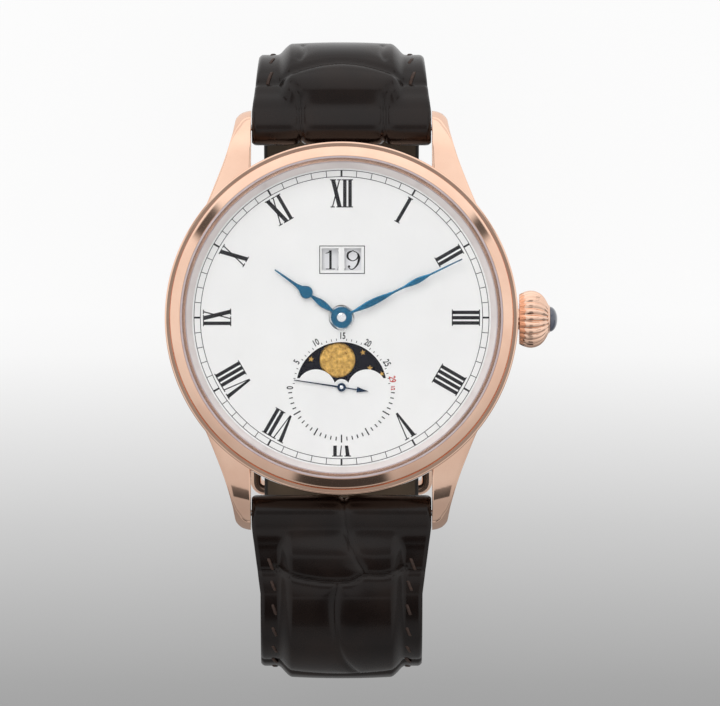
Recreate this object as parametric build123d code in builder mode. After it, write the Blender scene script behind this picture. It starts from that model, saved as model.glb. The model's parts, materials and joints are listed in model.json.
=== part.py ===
from build123d import *
from math import atan2, cos, degrees, hypot, radians, sin, sqrt
import os

os.makedirs("parts", exist_ok=True)

# Round automatic wristwatch on a buckled leather strap, in millimetres.
# The origin is the centre of the case back's outer face. +Z points out of the dial,
# +Y points to twelve o'clock and +X to three o'clock, where the crown is.

# Running clearances and one overrun for cuts
running_gap = 0.04
seat_gap = 0.02
face_gap = 0.1
soft_gap = 0.2
overrun = 1.0

# Case
case_diameter = 39.0
case_wall = 2.45
case_bottom = 1.0
case_top = 8.6
case_flank_bottom = 3.6
case_foot_inset = 0.9
bezel_inset = 0.65
bezel_band_width = 1.1
bezel_edge_height = 0.9
bezel_height = 2.35
bezel_lip_height = 1.65
bezel_bulge_shares = (0.33, 0.6)
crystal_edge_height = 0.9
crystal_dome_height = 0.95
crystal_edge_bevel = 0.55
crystal_dome_shares = (0.75, 0.4)
gasket_width = 0.2
rehaut_width = 0.65
back_flange_inset = 0.9
back_neck_height = 1.4
back_neck_wall = 1.3
back_window_border = 4.05
back_window_thickness = 0.9
back_slot_width = 2.0
back_slot_length = 1.0
back_slot_depth = 0.5
back_slot_count = 6

# Lugs and strap bars
strap_width = 20.0
lug_side_gap = 0.05
bar_to_case = 1.9
bar_to_tip = 1.9
lug_root_width = 5.55
lug_root_inset = 11.8
lug_waist_width = 2.95
lug_waist_inset = 5.3
lug_end_width = 1.85
lug_end_inset = 1.1
lug_corner_width = 1.05
lug_top = 7.7
lug_crease_inset = 2.7
lug_crease_z = 5.4
lug_top_rise = 0.4
lug_toe_z = 2.0
lug_bottom = 0.3
lug_heel_z = 1.4
bar_height = 2.3
bar_radius = 0.75
bar_pin_radius = 0.45
bar_tip_radius = 0.35
bar_tip_reach = 0.95
bar_pin_length = 4.0
bar_pin_travel = 1.0

# Crown and winding stem
stem_height = 4.9
stem_radius = 0.45
stem_inner_end = 8.3
tube_radius = 1.15
tube_bore = 0.75
tube_reach = 0.9
crown_start_gap = 0.15
crown_length = 3.4
crown_base_radius = 2.8
crown_radius = 3.25
crown_end_radius = 1.7
crown_flutes = 22
flute_depth = 0.22
cabochon_radius = 1.45
cabochon_height = 0.85
crown_recess_depth = 2.3
crown_travel = 1.1
cabochon_shape_shares = ((0.45, 0.86), (0.85, 0.45))
crown_shape_shares = ((0.0, 0.86), (0.38, 1.0), (0.68, 0.94), (0.9, 0.72), (1.0, 0.52))

# Heights of the movement's levels
rotor_bottom = 1.5
rotor_top = 2.7
bridge_bottom = 2.95
bridge_top = 4.1
plate_bottom = 6.0
plate_top = 7.25
calendar_bottom = 7.95
calendar_top = 8.15
disc_bottom = 8.25
disc_thickness = 0.3
dial_bottom = 8.7
dial_thickness = 0.45
holder_width = 1.95
dial_gap = 0.15
holder_bottom = 2.9

# Dial openings
centre_hole_radius = 1.4
window_offset = 1.25
window_row = 6.4
window_width = 1.85
window_height = 2.42
subdial_row = 7.65
moon_opening_radius = 4.98
moon_hump_radius = 2.17
moon_hump_offset = 2.8
moon_hump_drop = 0.2
moon_hub_radius = 0.9
moon_horn_row = 1.0
moon_disc_radius = 5.3
units_disc_radius = 5.6
units_digit_radius = 4.6
tens_disc_radius = 2.9
tens_digit_radius = 1.9
disc_post_radius = 0.5

# Hands
hand_thickness = 0.12
seconds_hand_bottom = 9.27
hour_hand_bottom = 9.5
minute_hand_bottom = 9.75
minute_length = 14.72
minute_angle = 64.2
hour_length = 9.0
hour_angle = 305.6
seconds_length = 5.29
seconds_tail = 2.97
seconds_angle = 278.6
hub_radius = 0.9

# Going train
train_module = 0.2
fourth_module = 0.12
escape_module = 0.12
centre_teeth = 48
centre_leaves = 10
third_teeth = 45
third_leaves = 6
fourth_teeth = 60
fourth_leaves = 6
escape_leaves = 6
escape_teeth = 15
barrel_teeth = 60
ratchet_module = 0.25
ratchet_teeth = 40
crown_wheel_teeth = 26
minute_module = 0.14
cannon_teeth = 10
minute_wheel_teeth = 30
minute_pinion_teeth = 8
hour_wheel_teeth = 32
arbor_radius = 0.35
pivot_radius = 0.2
wheel_thickness = 0.22
barrel_angle = 66.0
escape_angle = 205.0
pallet_reach = 2.6
balance_reach = 5.9
balance_angle = 144.0
balance_radius = 3.3
balance_rim = 0.45

# Strap
strap_taper = 1.0
leather_thickness = 1.7
lining_thickness = 0.8
padding_height = 1.2
padding_border = 2.6
padding_slope = 1.8

# Hand outlines
needle_half_width = 0.065
minute_leaf_shares = ((0.05, 0.475), (0.49, 0.75))
minute_leaf_half_widths = (0.36, 0.31)
hour_leaf_shares = (0.08, 0.455)
hour_leaf_half_width = 0.375
hour_bulb_share = 0.527
hour_bulb_radius = 0.69
hour_taper_share = 0.74
seconds_hub_radius = 0.53
arrow_length = 1.27
arrow_half_width = 0.315
arrow_tip_half_width = 0.01
needle_root_half_width = 0.095
needle_tip_half_width = 0.04
hour_taper_half_width = 0.55
cannon_radius = 0.6
hour_pipe_radius = 0.9

# Teeth, in shares of a module, and wheel details
addendum_share = 0.9
dedendum_share = 1.1
rim_modules = 4
escape_tip_radius = 1.9
escape_root_radius = 1.45
escape_rake = 7.0
barrel_arbor_radius = 0.7
crown_wheel_bore = 0.8
clutch_teeth = 12
clutch_length = 1.5
post_radius = 0.3

# Plates, bridges, jewels and screws
pillar_radius = 0.9
pillar_angles = (20.0, 100.0, 195.0, 330.0)
plate_rim_width = 1.4
clutch_slot_gap = 0.1
bridge_inset = 0.2
bridge_split = -1.3
bridge_gap = 0.3
train_bridge_left = -5.0
jewel_radius = 0.65
jewel_thickness = 0.3
screw_head_radius = 0.6
screw_shank_radius = 0.3
screw_head_height = 0.35
cock_half_width = 1.7
recess_margin = 0.15
rotor_bearing_radius = 1.3
barrel_bridge_screws = (25.0, 100.0, 165.0)
train_bridge_screws = (290.0, 335.0)
click_offset = 1.1
click_angle = 150.0

# Balance, hairspring and pallets
roller_radius = 0.55
spring_pitch = 0.5
spring_half_turns = 5
spring_start_radius = 0.55
spring_blade = 0.08
spring_width = 0.16
stone_angle = 33.0
stone_length = 0.45
stone_half_width = 0.12
lever_half_width = 0.16
fork_half_width = 0.4
pallet_foot_offset = 2.1
pallet_foot_radius = 0.5

# Rotor and its bearing
rotor_inset = 0.8
rotor_rim_width = 2.1
rotor_web_thickness = 0.35
rotor_hub_radius = 2.6
bearing_flange_radius = 2.0
bearing_flange_height = 0.15

# Line of the strap
bend_12_radius = 7.0
bend_12_angle = 65.0
bend_12_drop = 7.3
overhang_12 = 7.1
overhang_6 = 15.5
bend_6_radius = 10.0
bend_6_angle = 72.0
curl_radius = 22.0
curl_height = -23.0
tail_sweep = 34.0
padding_sweep_12 = 50.0
padding_sweep_6 = 40.0
roll_radius = 2.0
strap_lead = 2.3
hole_pitch = 6.5
hole_length = 3.0
hole_width = 2.0
hole_count_before = 3
hole_count_after = 3
taper_start = 1.1
taper_length = 7.5
taper_floor = -9.0

# Buckle and keepers
frame_bar_radius = 0.95
frame_reach = 9.4
frame_arm_thickness = 1.3
frame_arm_height = 2.0
frame_side_gap = 0.4
buckle_bar_y = -8.3
buckle_roll_radius = 1.5
buckle_bar_radius = 0.6
hole_offset = 4.9
tongue_width = 1.6
tongue_bend_start = 1.4
tongue_bend_end = 0.6
tongue_bend_rise = 0.2
tongue_thickness = 0.9
tongue_ring_radius = 1.1
tongue_hole_depth = 3.2
keeper_width = 3.6
keeper_wall = 0.9
keeper_gap = 0.15
keeper_start = 5.6
keeper_pitch = 6.0

# Sizes worked out from the driving dimensions
case_radius = case_diameter / 2
case_bore = case_radius - case_wall
bezel_radius = case_radius - bezel_inset
bezel_inner = bezel_radius - bezel_band_width
back_window_radius = case_bore - back_window_border
dial_radius = case_bore - dial_gap
movement_radius = case_bore - holder_width
bezel_top = case_top + bezel_height
crystal_radius = bezel_inner - gasket_width
crystal_bottom = case_top + bezel_lip_height
crystal_shoulder = crystal_bottom + crystal_edge_height
dial_top = dial_bottom + dial_thickness
strap_tail_width = strap_width - 2 * strap_taper
padding_width = strap_tail_width - 2 * padding_border
padding_top_width = padding_width - 2 * padding_slope
lug_inner_x = strap_width / 2 + lug_side_gap
bar_offset = case_radius + bar_to_case
lug_tip = bar_offset + bar_to_tip
lug_root_y = lug_tip - lug_root_inset
lug_waist_y = lug_tip - lug_waist_inset
lug_end_y = lug_tip - lug_end_inset
lug_crease_y = lug_tip - lug_crease_inset


def export(builder, name):
    """Label one finished piece and write it under its own name."""
    builder.part.label = name
    export_step(builder.part, "parts/" + name + ".step")


def disc(radius, bottom, top, centre=(0, 0), mode=Mode.ADD):
    """Add or cut an upright cylinder in the part being built."""
    with BuildSketch(Plane.XY.offset(bottom)) as outline:
        with Locations(centre):
            Circle(radius)
    extrude(outline.sketch, amount=top - bottom, mode=mode)


def ring(inner, outer, bottom, top, centre=(0, 0)):
    """Add a flat-sided ring to the part being built."""
    with BuildSketch(Plane.XY.offset(bottom)) as outline:
        with Locations(centre):
            Circle(outer)
            Circle(inner, mode=Mode.SUBTRACT)
    extrude(outline.sketch, amount=top - bottom)


def along(centre, angle, distance):
    """The point at a distance and an angle, in degrees, from a centre."""
    return (
        centre[0] + distance * cos(radians(angle)),
        centre[1] + distance * sin(radians(angle)),
    )


def heading(start, end):
    """The angle in degrees of the line from one point to another."""
    return degrees(atan2(end[1] - start[1], end[0] - start[0]))


# Case middle with its bore, gasket groove, crown bore and four lugs
with BuildPart() as mid_case:
    with BuildSketch(Plane.XZ):
        with BuildLine():
            foot_radius = case_radius - case_foot_inset
            Polyline(
                (foot_radius, case_bottom),
                (case_bore, case_bottom),
                (case_bore, case_top),
                (case_radius, case_top),
                (case_radius, case_flank_bottom),
                close=True,
            )
        make_face()
    revolve(axis=Axis.Z)
    with BuildSketch(Plane.XY.offset(lug_bottom)) as lug_plan:
        for x_side in (-1, 1):
            for y_side in (-1, 1):
                with BuildLine():
                    Polyline(
                        (x_side * lug_inner_x, y_side * lug_root_y),
                        (x_side * (lug_inner_x + lug_root_width), y_side * lug_root_y),
                        (x_side * (lug_inner_x + lug_waist_width), y_side * lug_waist_y),
                        (x_side * (lug_inner_x + lug_end_width), y_side * lug_end_y),
                        (x_side * (lug_inner_x + lug_corner_width), y_side * (lug_tip - lug_side_gap)),
                        (x_side * lug_inner_x, y_side * lug_tip),
                        close=True,
                    )
                make_face()
    extrude(lug_plan.sketch, amount=lug_top - lug_bottom)
    with BuildSketch(Plane.YZ) as lug_side:
        for y_side in (-1, 1):
            with BuildLine():
                Polyline(
                    (0, lug_top + overrun),
                    (y_side * lug_root_y, lug_top),
                    (y_side * (lug_root_y + lug_crease_y) / 2, (lug_top + lug_crease_z) / 2 + lug_top_rise),
                    (y_side * lug_crease_y, lug_crease_z),
                    (y_side * lug_tip, lug_toe_z),
                    (y_side * lug_tip, lug_top + overrun),
                    close=True,
                )
            make_face()
            with BuildLine():
                Polyline(
                    (y_side * lug_root_y, lug_bottom - overrun),
                    (y_side * lug_root_y, lug_heel_z),
                    (y_side * lug_waist_y, lug_heel_z),
                    (y_side * lug_crease_y, lug_bottom),
                    (y_side * lug_crease_y, lug_bottom - overrun),
                    close=True,
                )
            make_face()
    with BuildSketch(Plane.XY) as lug_zone:
        Rectangle(4 * case_radius, 4 * case_radius)
        Circle(case_radius, mode=Mode.SUBTRACT)
    trimming = extrude(lug_side.sketch, amount=case_radius, both=True, mode=Mode.PRIVATE)
    keep_case = extrude(lug_zone.sketch, amount=lug_top + 2 * overrun, mode=Mode.PRIVATE)
    add(trimming & keep_case, mode=Mode.SUBTRACT)
    disc(case_radius, 0, case_bottom, mode=Mode.SUBTRACT)
    disc(case_bore, case_bottom, case_top, mode=Mode.SUBTRACT)
    with BuildSketch(Plane.YZ.offset(-case_radius)) as pin_holes:
        with Locations((bar_offset, bar_height), (-bar_offset, bar_height)):
            Circle(bar_tip_radius + running_gap)
    extrude(pin_holes.sketch, amount=2 * case_radius, mode=Mode.SUBTRACT)
    with BuildSketch(Plane.YZ.offset(case_bore - overrun)) as tube_hole:
        with Locations((0, stem_height)):
            Circle(tube_radius)
    extrude(tube_hole.sketch, amount=case_radius - case_bore + 2 * overrun, mode=Mode.SUBTRACT)
export(mid_case, "mid_case")

# Bezel with its convex band and the lip that carries the crystal
with BuildPart() as bezel:
    with BuildSketch(Plane.XZ):
        with BuildLine():
            Polyline(
                (bezel_inner, bezel_top),
                (bezel_inner, crystal_bottom),
                (case_bore, crystal_bottom),
                (case_bore, case_top),
                (bezel_radius, case_top),
                (bezel_radius, case_top + bezel_edge_height),
                (
                    bezel_radius - bezel_bulge_shares[0] * bezel_band_width,
                    case_top + bezel_edge_height + bezel_bulge_shares[1] * (bezel_height - bezel_edge_height),
                ),
                close=True,
            )
        make_face()
    revolve(axis=Axis.Z)
export(bezel, "bezel")

# Crystal, flat inside and domed outside, with a polished bevel round its edge
with BuildPart() as crystal:
    with BuildSketch(Plane.XZ):
        with BuildLine():
            bevel_radius = crystal_radius - crystal_edge_bevel
            dome_start = crystal_shoulder + crystal_edge_bevel / 2
            dome_top = dome_start + crystal_dome_height
            Polyline(
                (0, dome_top),
                (0, crystal_bottom),
                (crystal_radius, crystal_bottom),
                (crystal_radius, crystal_shoulder),
                (bevel_radius, dome_start),
                *[
                    (share * bevel_radius, dome_start + (1 - share**2) * crystal_dome_height)
                    for share in crystal_dome_shares
                ],
                close=True,
            )
        make_face()
    revolve(axis=Axis.Z)
export(crystal, "crystal")

with BuildPart() as crystal_gasket:
    ring(crystal_radius, bezel_inner, crystal_bottom, crystal_shoulder)
export(crystal_gasket, "crystal_gasket")

# Sloping inner ring between the dial and the crystal
with BuildPart() as rehaut_ring:
    with BuildSketch(Plane.XZ):
        with BuildLine():
            Polyline(
                (case_bore - rehaut_width, dial_top),
                (case_bore - seat_gap, dial_top),
                (case_bore - seat_gap, crystal_bottom),
                close=True,
            )
        make_face()
    revolve(axis=Axis.Z)
export(rehaut_ring, "rehaut_ring")

# Screwed case back with its window
back_radius = case_radius - back_flange_inset
back_neck_radius = case_bore - running_gap
with BuildPart() as case_back:
    with BuildSketch(Plane.XZ):
        with BuildLine():
            Polyline(
                (back_window_radius, 0),
                (back_radius, 0),
                (back_radius, case_bottom),
                (back_neck_radius, case_bottom),
                (back_neck_radius, case_bottom + back_neck_height),
                (back_neck_radius - back_neck_wall, case_bottom + back_neck_height),
                (back_neck_radius - back_neck_wall, back_window_thickness),
                (back_window_radius, back_window_thickness),
                close=True,
            )
        make_face()
    revolve(axis=Axis.Z)
    with BuildSketch(Plane.XY) as slots:
        with PolarLocations(back_radius, back_slot_count):
            Rectangle(2 * back_slot_length, back_slot_width)
    extrude(slots.sketch, amount=back_slot_depth, mode=Mode.SUBTRACT)
export(case_back, "case_back")

with BuildPart() as back_crystal:
    disc(back_window_radius - gasket_width, 0, back_window_thickness)
export(back_crystal, "back_crystal")

with BuildPart() as back_crystal_gasket:
    ring(
        back_window_radius - gasket_width,
        back_window_radius,
        0,
        back_window_thickness,
    )
export(back_crystal_gasket, "back_crystal_gasket")

# Ring that holds the movement in the case and carries the dial
with BuildPart() as movement_ring:
    ring(movement_radius + seat_gap, case_bore - seat_gap, holder_bottom, dial_bottom)
    with BuildSketch(Plane.YZ.offset(movement_radius - overrun)) as stem_gap:
        with Locations((0, stem_height)):
            Circle(tube_radius + running_gap)
    extrude(stem_gap.sketch, amount=case_bore - movement_radius + 2 * overrun, mode=Mode.SUBTRACT)
export(movement_ring, "movement_ring")

# Crown tube, pressed through the case wall
with BuildPart() as crown_tube:
    with BuildSketch(Plane.YZ.offset(case_bore + seat_gap)) as tube_section:
        with Locations((0, stem_height)):
            Circle(tube_radius)
            Circle(tube_bore, mode=Mode.SUBTRACT)
    extrude(tube_section.sketch, amount=case_radius + tube_reach - case_bore)
export(crown_tube, "crown_tube")


def star(radius):
    """Points of the crown's fluted outline at one station."""
    points = []
    for index in range(crown_flutes):
        step = 360 / crown_flutes
        points.append(along((0, stem_height), index * step, radius))
        points.append(along((0, stem_height), (index + 0.5) * step, radius - flute_depth))
    return points


# Fluted onion crown with a recess for the tube and the gasket
crown_start = case_radius + crown_start_gap
crown_end = crown_start + crown_length
recess_radius = tube_radius + running_gap
with BuildPart() as crown:
    for station, share in crown_shape_shares:
        with BuildSketch(Plane.YZ.offset(crown_start + station * crown_length)):
            with BuildLine():
                Polyline(*star(crown_radius * share), close=True)
            make_face()
    loft(ruled=True)
    with BuildSketch(Plane.YZ.offset(crown_start)) as recess:
        with Locations((0, stem_height)):
            Circle(recess_radius)
    extrude(recess.sketch, amount=crown_recess_depth, mode=Mode.SUBTRACT)
export(crown, "crown")

with BuildPart() as crown_cabochon:
    with BuildSketch(Plane.XZ):
        with BuildLine():
            Polyline(
                (crown_end + cabochon_height, stem_height),
                (crown_end, stem_height),
                (crown_end, stem_height + cabochon_radius),
                *[
                    (crown_end + rise * cabochon_height, stem_height + spread * cabochon_radius)
                    for rise, spread in cabochon_shape_shares
                ],
                close=True,
            )
        make_face()
    revolve(axis=Axis((0, 0, stem_height), (1, 0, 0)))
export(crown_cabochon, "crown_cabochon")

# The stem is round in the tube and square where it slides through the winding pinion
square_end = movement_radius - 2 * overrun
with BuildPart() as winding_stem:
    with BuildSketch(Plane.YZ.offset(square_end)) as round_stem:
        with Locations((0, stem_height)):
            Circle(stem_radius)
    extrude(round_stem.sketch, amount=crown_start + crown_recess_depth - square_end)
    with BuildSketch(Plane.YZ.offset(stem_inner_end)) as square_stem:
        with Locations((0, stem_height)):
            Rectangle(stem_radius * sqrt(2), stem_radius * sqrt(2))
    extrude(square_stem.sketch, amount=square_end - stem_inner_end)
export(winding_stem, "winding_stem")

# Spring bars: a tube between the lugs and a sprung pin at each end
tube_half = lug_inner_x - overrun
for side_name, y_side in (("12", 1), ("6", -1)):
    bar_y = y_side * bar_offset
    with BuildPart() as bar_tube:
        with BuildSketch(Plane.YZ) as bar_section:
            with Locations((bar_y, bar_height)):
                Circle(bar_radius)
                Circle(bar_pin_radius + running_gap, mode=Mode.SUBTRACT)
        extrude(bar_section.sketch, amount=tube_half, both=True)
    export(bar_tube, "spring_bar_tube_" + side_name)
    for pin_name, x_side in (("right", 1), ("left", -1)):
        pin_plane = Plane.YZ if x_side > 0 else Plane(origin=(0, 0, 0), x_dir=(0, 1, 0), z_dir=(-1, 0, 0))
        local_z = bar_height if x_side > 0 else -bar_height
        shoulder = lug_inner_x - 2 * face_gap
        with BuildPart() as bar_pin:
            with BuildSketch(pin_plane.offset(shoulder - bar_pin_length)) as body_section:
                with Locations((bar_y, local_z)):
                    Circle(bar_pin_radius)
            extrude(body_section.sketch, amount=bar_pin_length)
            with BuildSketch(pin_plane.offset(shoulder)) as tip_section:
                with Locations((bar_y, local_z)):
                    Circle(bar_tip_radius)
            extrude(tip_section.sketch, amount=bar_tip_reach)
        export(bar_pin, "bar_pin_" + side_name + "_" + pin_name)

# Dial with its centre hole, date windows and moon opening
with BuildPart() as dial:
    with BuildSketch(Plane.XY.offset(dial_bottom)) as dial_face:
        Circle(dial_radius)
        Circle(centre_hole_radius, mode=Mode.SUBTRACT)
        with Locations((-window_offset, window_row), (window_offset, window_row)):
            Rectangle(window_width, window_height, mode=Mode.SUBTRACT)
        with Locations((0, -subdial_row)):
            Circle(arbor_radius + running_gap, mode=Mode.SUBTRACT)
    extrude(amount=dial_thickness)
    with BuildSketch(Plane.XY.offset(dial_bottom)) as moon_opening:
        with Locations((0, -subdial_row)):
            Circle(moon_opening_radius)
            with Locations((0, -moon_opening_radius)):
                Rectangle(4 * moon_opening_radius, 2 * moon_opening_radius, mode=Mode.SUBTRACT)
            Circle(moon_hub_radius, mode=Mode.SUBTRACT)
            with Locations((-moon_hump_offset, -moon_hump_drop), (moon_hump_offset, -moon_hump_drop)):
                Circle(moon_hump_radius, mode=Mode.SUBTRACT)
            with Locations((-moon_opening_radius, 0), (moon_opening_radius, 0)):
                Rectangle(2 * moon_horn_row, 2 * moon_horn_row, mode=Mode.SUBTRACT)
    extrude(moon_opening.sketch, amount=dial_thickness, mode=Mode.SUBTRACT)
export(dial, "dial")


def calendar_disc(name, centre, radius):
    """A flat disc that turns on its post below the dial."""
    with BuildPart() as plate:
        ring(disc_post_radius + running_gap, radius, disc_bottom, disc_bottom + disc_thickness, centre)
    export(plate, name)


subdial = (0, -subdial_row)
units_post = (window_offset + units_digit_radius, window_row)
tens_post = (-window_offset - tens_digit_radius, window_row)
calendar_disc("moon_disc", subdial, moon_disc_radius)
calendar_disc("date_units_disc", units_post, units_disc_radius)
calendar_disc("date_tens_disc", tens_post, tens_disc_radius)


def hand_plane(centre, clock_angle, height):
    """A plane whose x axis runs along a hand that shows the given clock angle."""
    turn = radians(clock_angle)
    return Plane(
        origin=(centre[0], centre[1], height),
        x_dir=(sin(turn), cos(turn), 0),
        z_dir=(0, 0, 1),
    )


def leaf(start, end, half_width):
    """A pointed leaf between two stations of a hand, bounded by two arcs."""
    middle = (start + end) / 2
    with BuildSketch() as shape:
        with BuildLine():
            ThreePointArc((start, 0), (middle, half_width), (end, 0))
            ThreePointArc((end, 0), (middle, -half_width), (start, 0))
        make_face()
    return shape.sketch


def needle(start, end, start_half_width, end_half_width):
    """A slim taper between two stations of a hand."""
    with BuildSketch() as shape:
        with BuildLine():
            Polyline(
                (start, start_half_width),
                (start, -start_half_width),
                (end, -end_half_width),
                (end, end_half_width),
                close=True,
            )
        make_face()
    return shape.sketch


with BuildPart() as minute_hand:
    with BuildSketch(hand_plane((0, 0), minute_angle, minute_hand_bottom)):
        Circle(hub_radius)
        for (start_share, end_share), half_width in zip(minute_leaf_shares, minute_leaf_half_widths):
            add(leaf(start_share * minute_length, end_share * minute_length, half_width))
        add(needle(0, minute_length, needle_root_half_width, needle_tip_half_width))
        Circle(cannon_radius, mode=Mode.SUBTRACT)
    extrude(amount=hand_thickness)
export(minute_hand, "minute_hand")

with BuildPart() as hour_hand:
    with BuildSketch(hand_plane((0, 0), hour_angle, hour_hand_bottom)):
        Circle(hub_radius + hour_pipe_radius - cannon_radius)
        add(leaf(hour_leaf_shares[0] * hour_length, hour_leaf_shares[1] * hour_length, hour_leaf_half_width))
        add(needle(0, hour_length, needle_root_half_width, needle_tip_half_width))
        bulb_start = hour_bulb_share * hour_length
        add(needle(bulb_start, hour_taper_share * hour_length, hour_taper_half_width, needle_half_width))
        with Locations((bulb_start, 0)):
            Circle(hour_bulb_radius)
        Circle(hour_pipe_radius, mode=Mode.SUBTRACT)
    extrude(amount=hand_thickness)
export(hour_hand, "hour_hand")

with BuildPart() as seconds_hand:
    with BuildSketch(hand_plane(subdial, seconds_angle, seconds_hand_bottom)):
        Circle(seconds_hub_radius)
        add(needle(0, seconds_length, needle_root_half_width, needle_half_width))
        add(needle(arrow_length - seconds_tail, 0, needle_half_width, needle_half_width))
        add(needle(-seconds_tail, arrow_length - seconds_tail, arrow_tip_half_width, arrow_half_width))
        Circle(pivot_radius, mode=Mode.SUBTRACT)
    extrude(amount=hand_thickness)
export(seconds_hand, "seconds_hand")


def teeth_sketch(teeth, module, centre, phase, plane):
    """A pointed-tooth outline whose first tooth lies at the phase angle."""
    pitch_radius = module * teeth / 2
    points = []
    for index in range(teeth):
        step = 360 / teeth
        points.append(along(centre, phase + index * step, pitch_radius + addendum_share * module))
        points.append(along(centre, phase + (index + 0.5) * step, pitch_radius - dedendum_share * module))
    with BuildSketch(plane) as outline:
        with BuildLine():
            Polyline(*points, close=True)
        make_face()
    return outline.sketch


def gear(teeth, module, centre, phase, bottom, top):
    """Add a toothed disc to the part being built."""
    extrude(teeth_sketch(teeth, module, centre, phase, Plane.XY.offset(bottom)), amount=top - bottom)


def spoke_windows(centre, inner, outer, width, bottom, top):
    """Cut the four windows that leave a wheel its rim, hub and crossed spokes."""
    with BuildSketch(Plane.XY.offset(bottom)) as windows:
        with Locations(centre):
            Circle(outer)
            Circle(inner, mode=Mode.SUBTRACT)
            Rectangle(2 * outer, width, mode=Mode.SUBTRACT)
            Rectangle(width, 2 * outer, mode=Mode.SUBTRACT)
    extrude(windows.sketch, amount=top - bottom, mode=Mode.SUBTRACT)


# Plan of the going train, worked out from modules and tooth counts
centre = (0, 0)
centre_to_third = train_module * (centre_teeth + third_leaves) / 2
third_to_fourth = train_module * (third_teeth + fourth_leaves) / 2
third_along = (centre_to_third**2 - third_to_fourth**2 + subdial_row**2) / (2 * subdial_row)
third = (sqrt(centre_to_third**2 - third_along**2), -third_along)
barrel = along(centre, barrel_angle, train_module * (barrel_teeth + centre_leaves) / 2)
escape = along(subdial, escape_angle, fourth_module * (fourth_teeth + escape_leaves) / 2)
pallet = along(escape, balance_angle, pallet_reach)
balance = along(escape, balance_angle, balance_reach)
winding_distance = ratchet_module * (ratchet_teeth + crown_wheel_teeth) / 2
crown_wheel_centre = (barrel[0] + sqrt(winding_distance**2 - barrel[1] ** 2), 0)
minute_post = (-minute_module * (cannon_teeth + minute_wheel_teeth) / 2, 0)

# Levels of the train between the bridges and the main plate
pivot_bottom = bridge_top - 2 * wheel_thickness
centre_wheel_bottom = bridge_top + face_gap
fourth_wheel_bottom = centre_wheel_bottom + wheel_thickness + 2 * face_gap
barrel_bottom = fourth_wheel_bottom
barrel_top = plate_bottom - face_gap
third_wheel_bottom = plate_bottom - 2 * wheel_thickness
escape_wheel_bottom = third_wheel_bottom - wheel_thickness / 2
leaf_margin = wheel_thickness / 2


def half_tooth(teeth):
    """The angle that turns a gap, rather than a tooth, to face a neighbour."""
    return 180 + 180 / teeth


to_third = heading(centre, third)
to_barrel = heading(centre, barrel)
third_to_subdial = heading(third, subdial)
to_escape = heading(subdial, escape)
to_minute = heading(centre, minute_post)

with BuildPart() as centre_wheel:
    gear(centre_teeth, train_module, centre, to_third, centre_wheel_bottom, centre_wheel_bottom + wheel_thickness)
    spoke_windows(
        centre,
        train_module * centre_leaves,
        train_module * (centre_teeth / 2 - rim_modules),
        3 * wheel_thickness,
        centre_wheel_bottom,
        centre_wheel_bottom + wheel_thickness,
    )
    gear(centre_leaves, train_module, centre, to_barrel, centre_wheel_bottom, third_wheel_bottom - face_gap)
    disc(arbor_radius, pivot_bottom, minute_hand_bottom)
export(centre_wheel, "centre_wheel")

with BuildPart() as third_wheel:
    gear(third_teeth, train_module, third, third_to_subdial, third_wheel_bottom, third_wheel_bottom + wheel_thickness)
    spoke_windows(
        third,
        train_module * third_leaves / 2 + wheel_thickness,
        train_module * (third_teeth / 2 - rim_modules),
        3 * wheel_thickness,
        third_wheel_bottom,
        third_wheel_bottom + wheel_thickness,
    )
    gear(
        third_leaves,
        train_module,
        third,
        to_third + half_tooth(third_leaves),
        centre_wheel_bottom - leaf_margin / 2,
        third_wheel_bottom + wheel_thickness,
    )
    disc(pivot_radius, pivot_bottom, plate_bottom + 2 * wheel_thickness, third)
export(third_wheel, "third_wheel")

fourth_wheel_top = fourth_wheel_bottom + wheel_thickness
with BuildPart() as fourth_wheel:
    gear(fourth_teeth, fourth_module, subdial, to_escape, fourth_wheel_bottom, fourth_wheel_top)
    spoke_windows(
        subdial,
        train_module * fourth_leaves / 2 + wheel_thickness,
        fourth_module * (fourth_teeth / 2 - rim_modules),
        2 * wheel_thickness,
        fourth_wheel_bottom,
        fourth_wheel_top,
    )
    gear(
        fourth_leaves,
        train_module,
        subdial,
        third_to_subdial + half_tooth(fourth_leaves),
        fourth_wheel_bottom,
        plate_bottom - face_gap,
    )
    disc(pivot_radius, pivot_bottom, seconds_hand_bottom + hand_thickness, subdial)
export(fourth_wheel, "fourth_wheel")

# Escape wheel with raked pointed teeth
escape_wheel_top = escape_wheel_bottom + wheel_thickness
with BuildPart() as escape_wheel:
    rake_points = []
    for index in range(escape_teeth):
        tooth_angle = index * 360 / escape_teeth
        rake_points.append(along(escape, tooth_angle, escape_root_radius))
        rake_points.append(along(escape, tooth_angle + escape_rake, escape_tip_radius))
    with BuildSketch(Plane.XY.offset(escape_wheel_bottom)) as rake_outline:
        with BuildLine():
            Polyline(*rake_points, close=True)
        make_face()
    extrude(rake_outline.sketch, amount=wheel_thickness)
    spoke_windows(
        escape,
        3 * pivot_radius,
        escape_root_radius - wheel_thickness,
        wheel_thickness,
        escape_wheel_bottom,
        escape_wheel_top,
    )
    gear(
        escape_leaves,
        escape_module,
        escape,
        to_escape + half_tooth(escape_leaves),
        fourth_wheel_bottom - leaf_margin / 2,
        escape_wheel_top,
    )
    disc(pivot_radius, pivot_bottom, plate_bottom + 2 * wheel_thickness, escape)
export(escape_wheel, "escape_wheel")

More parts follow.
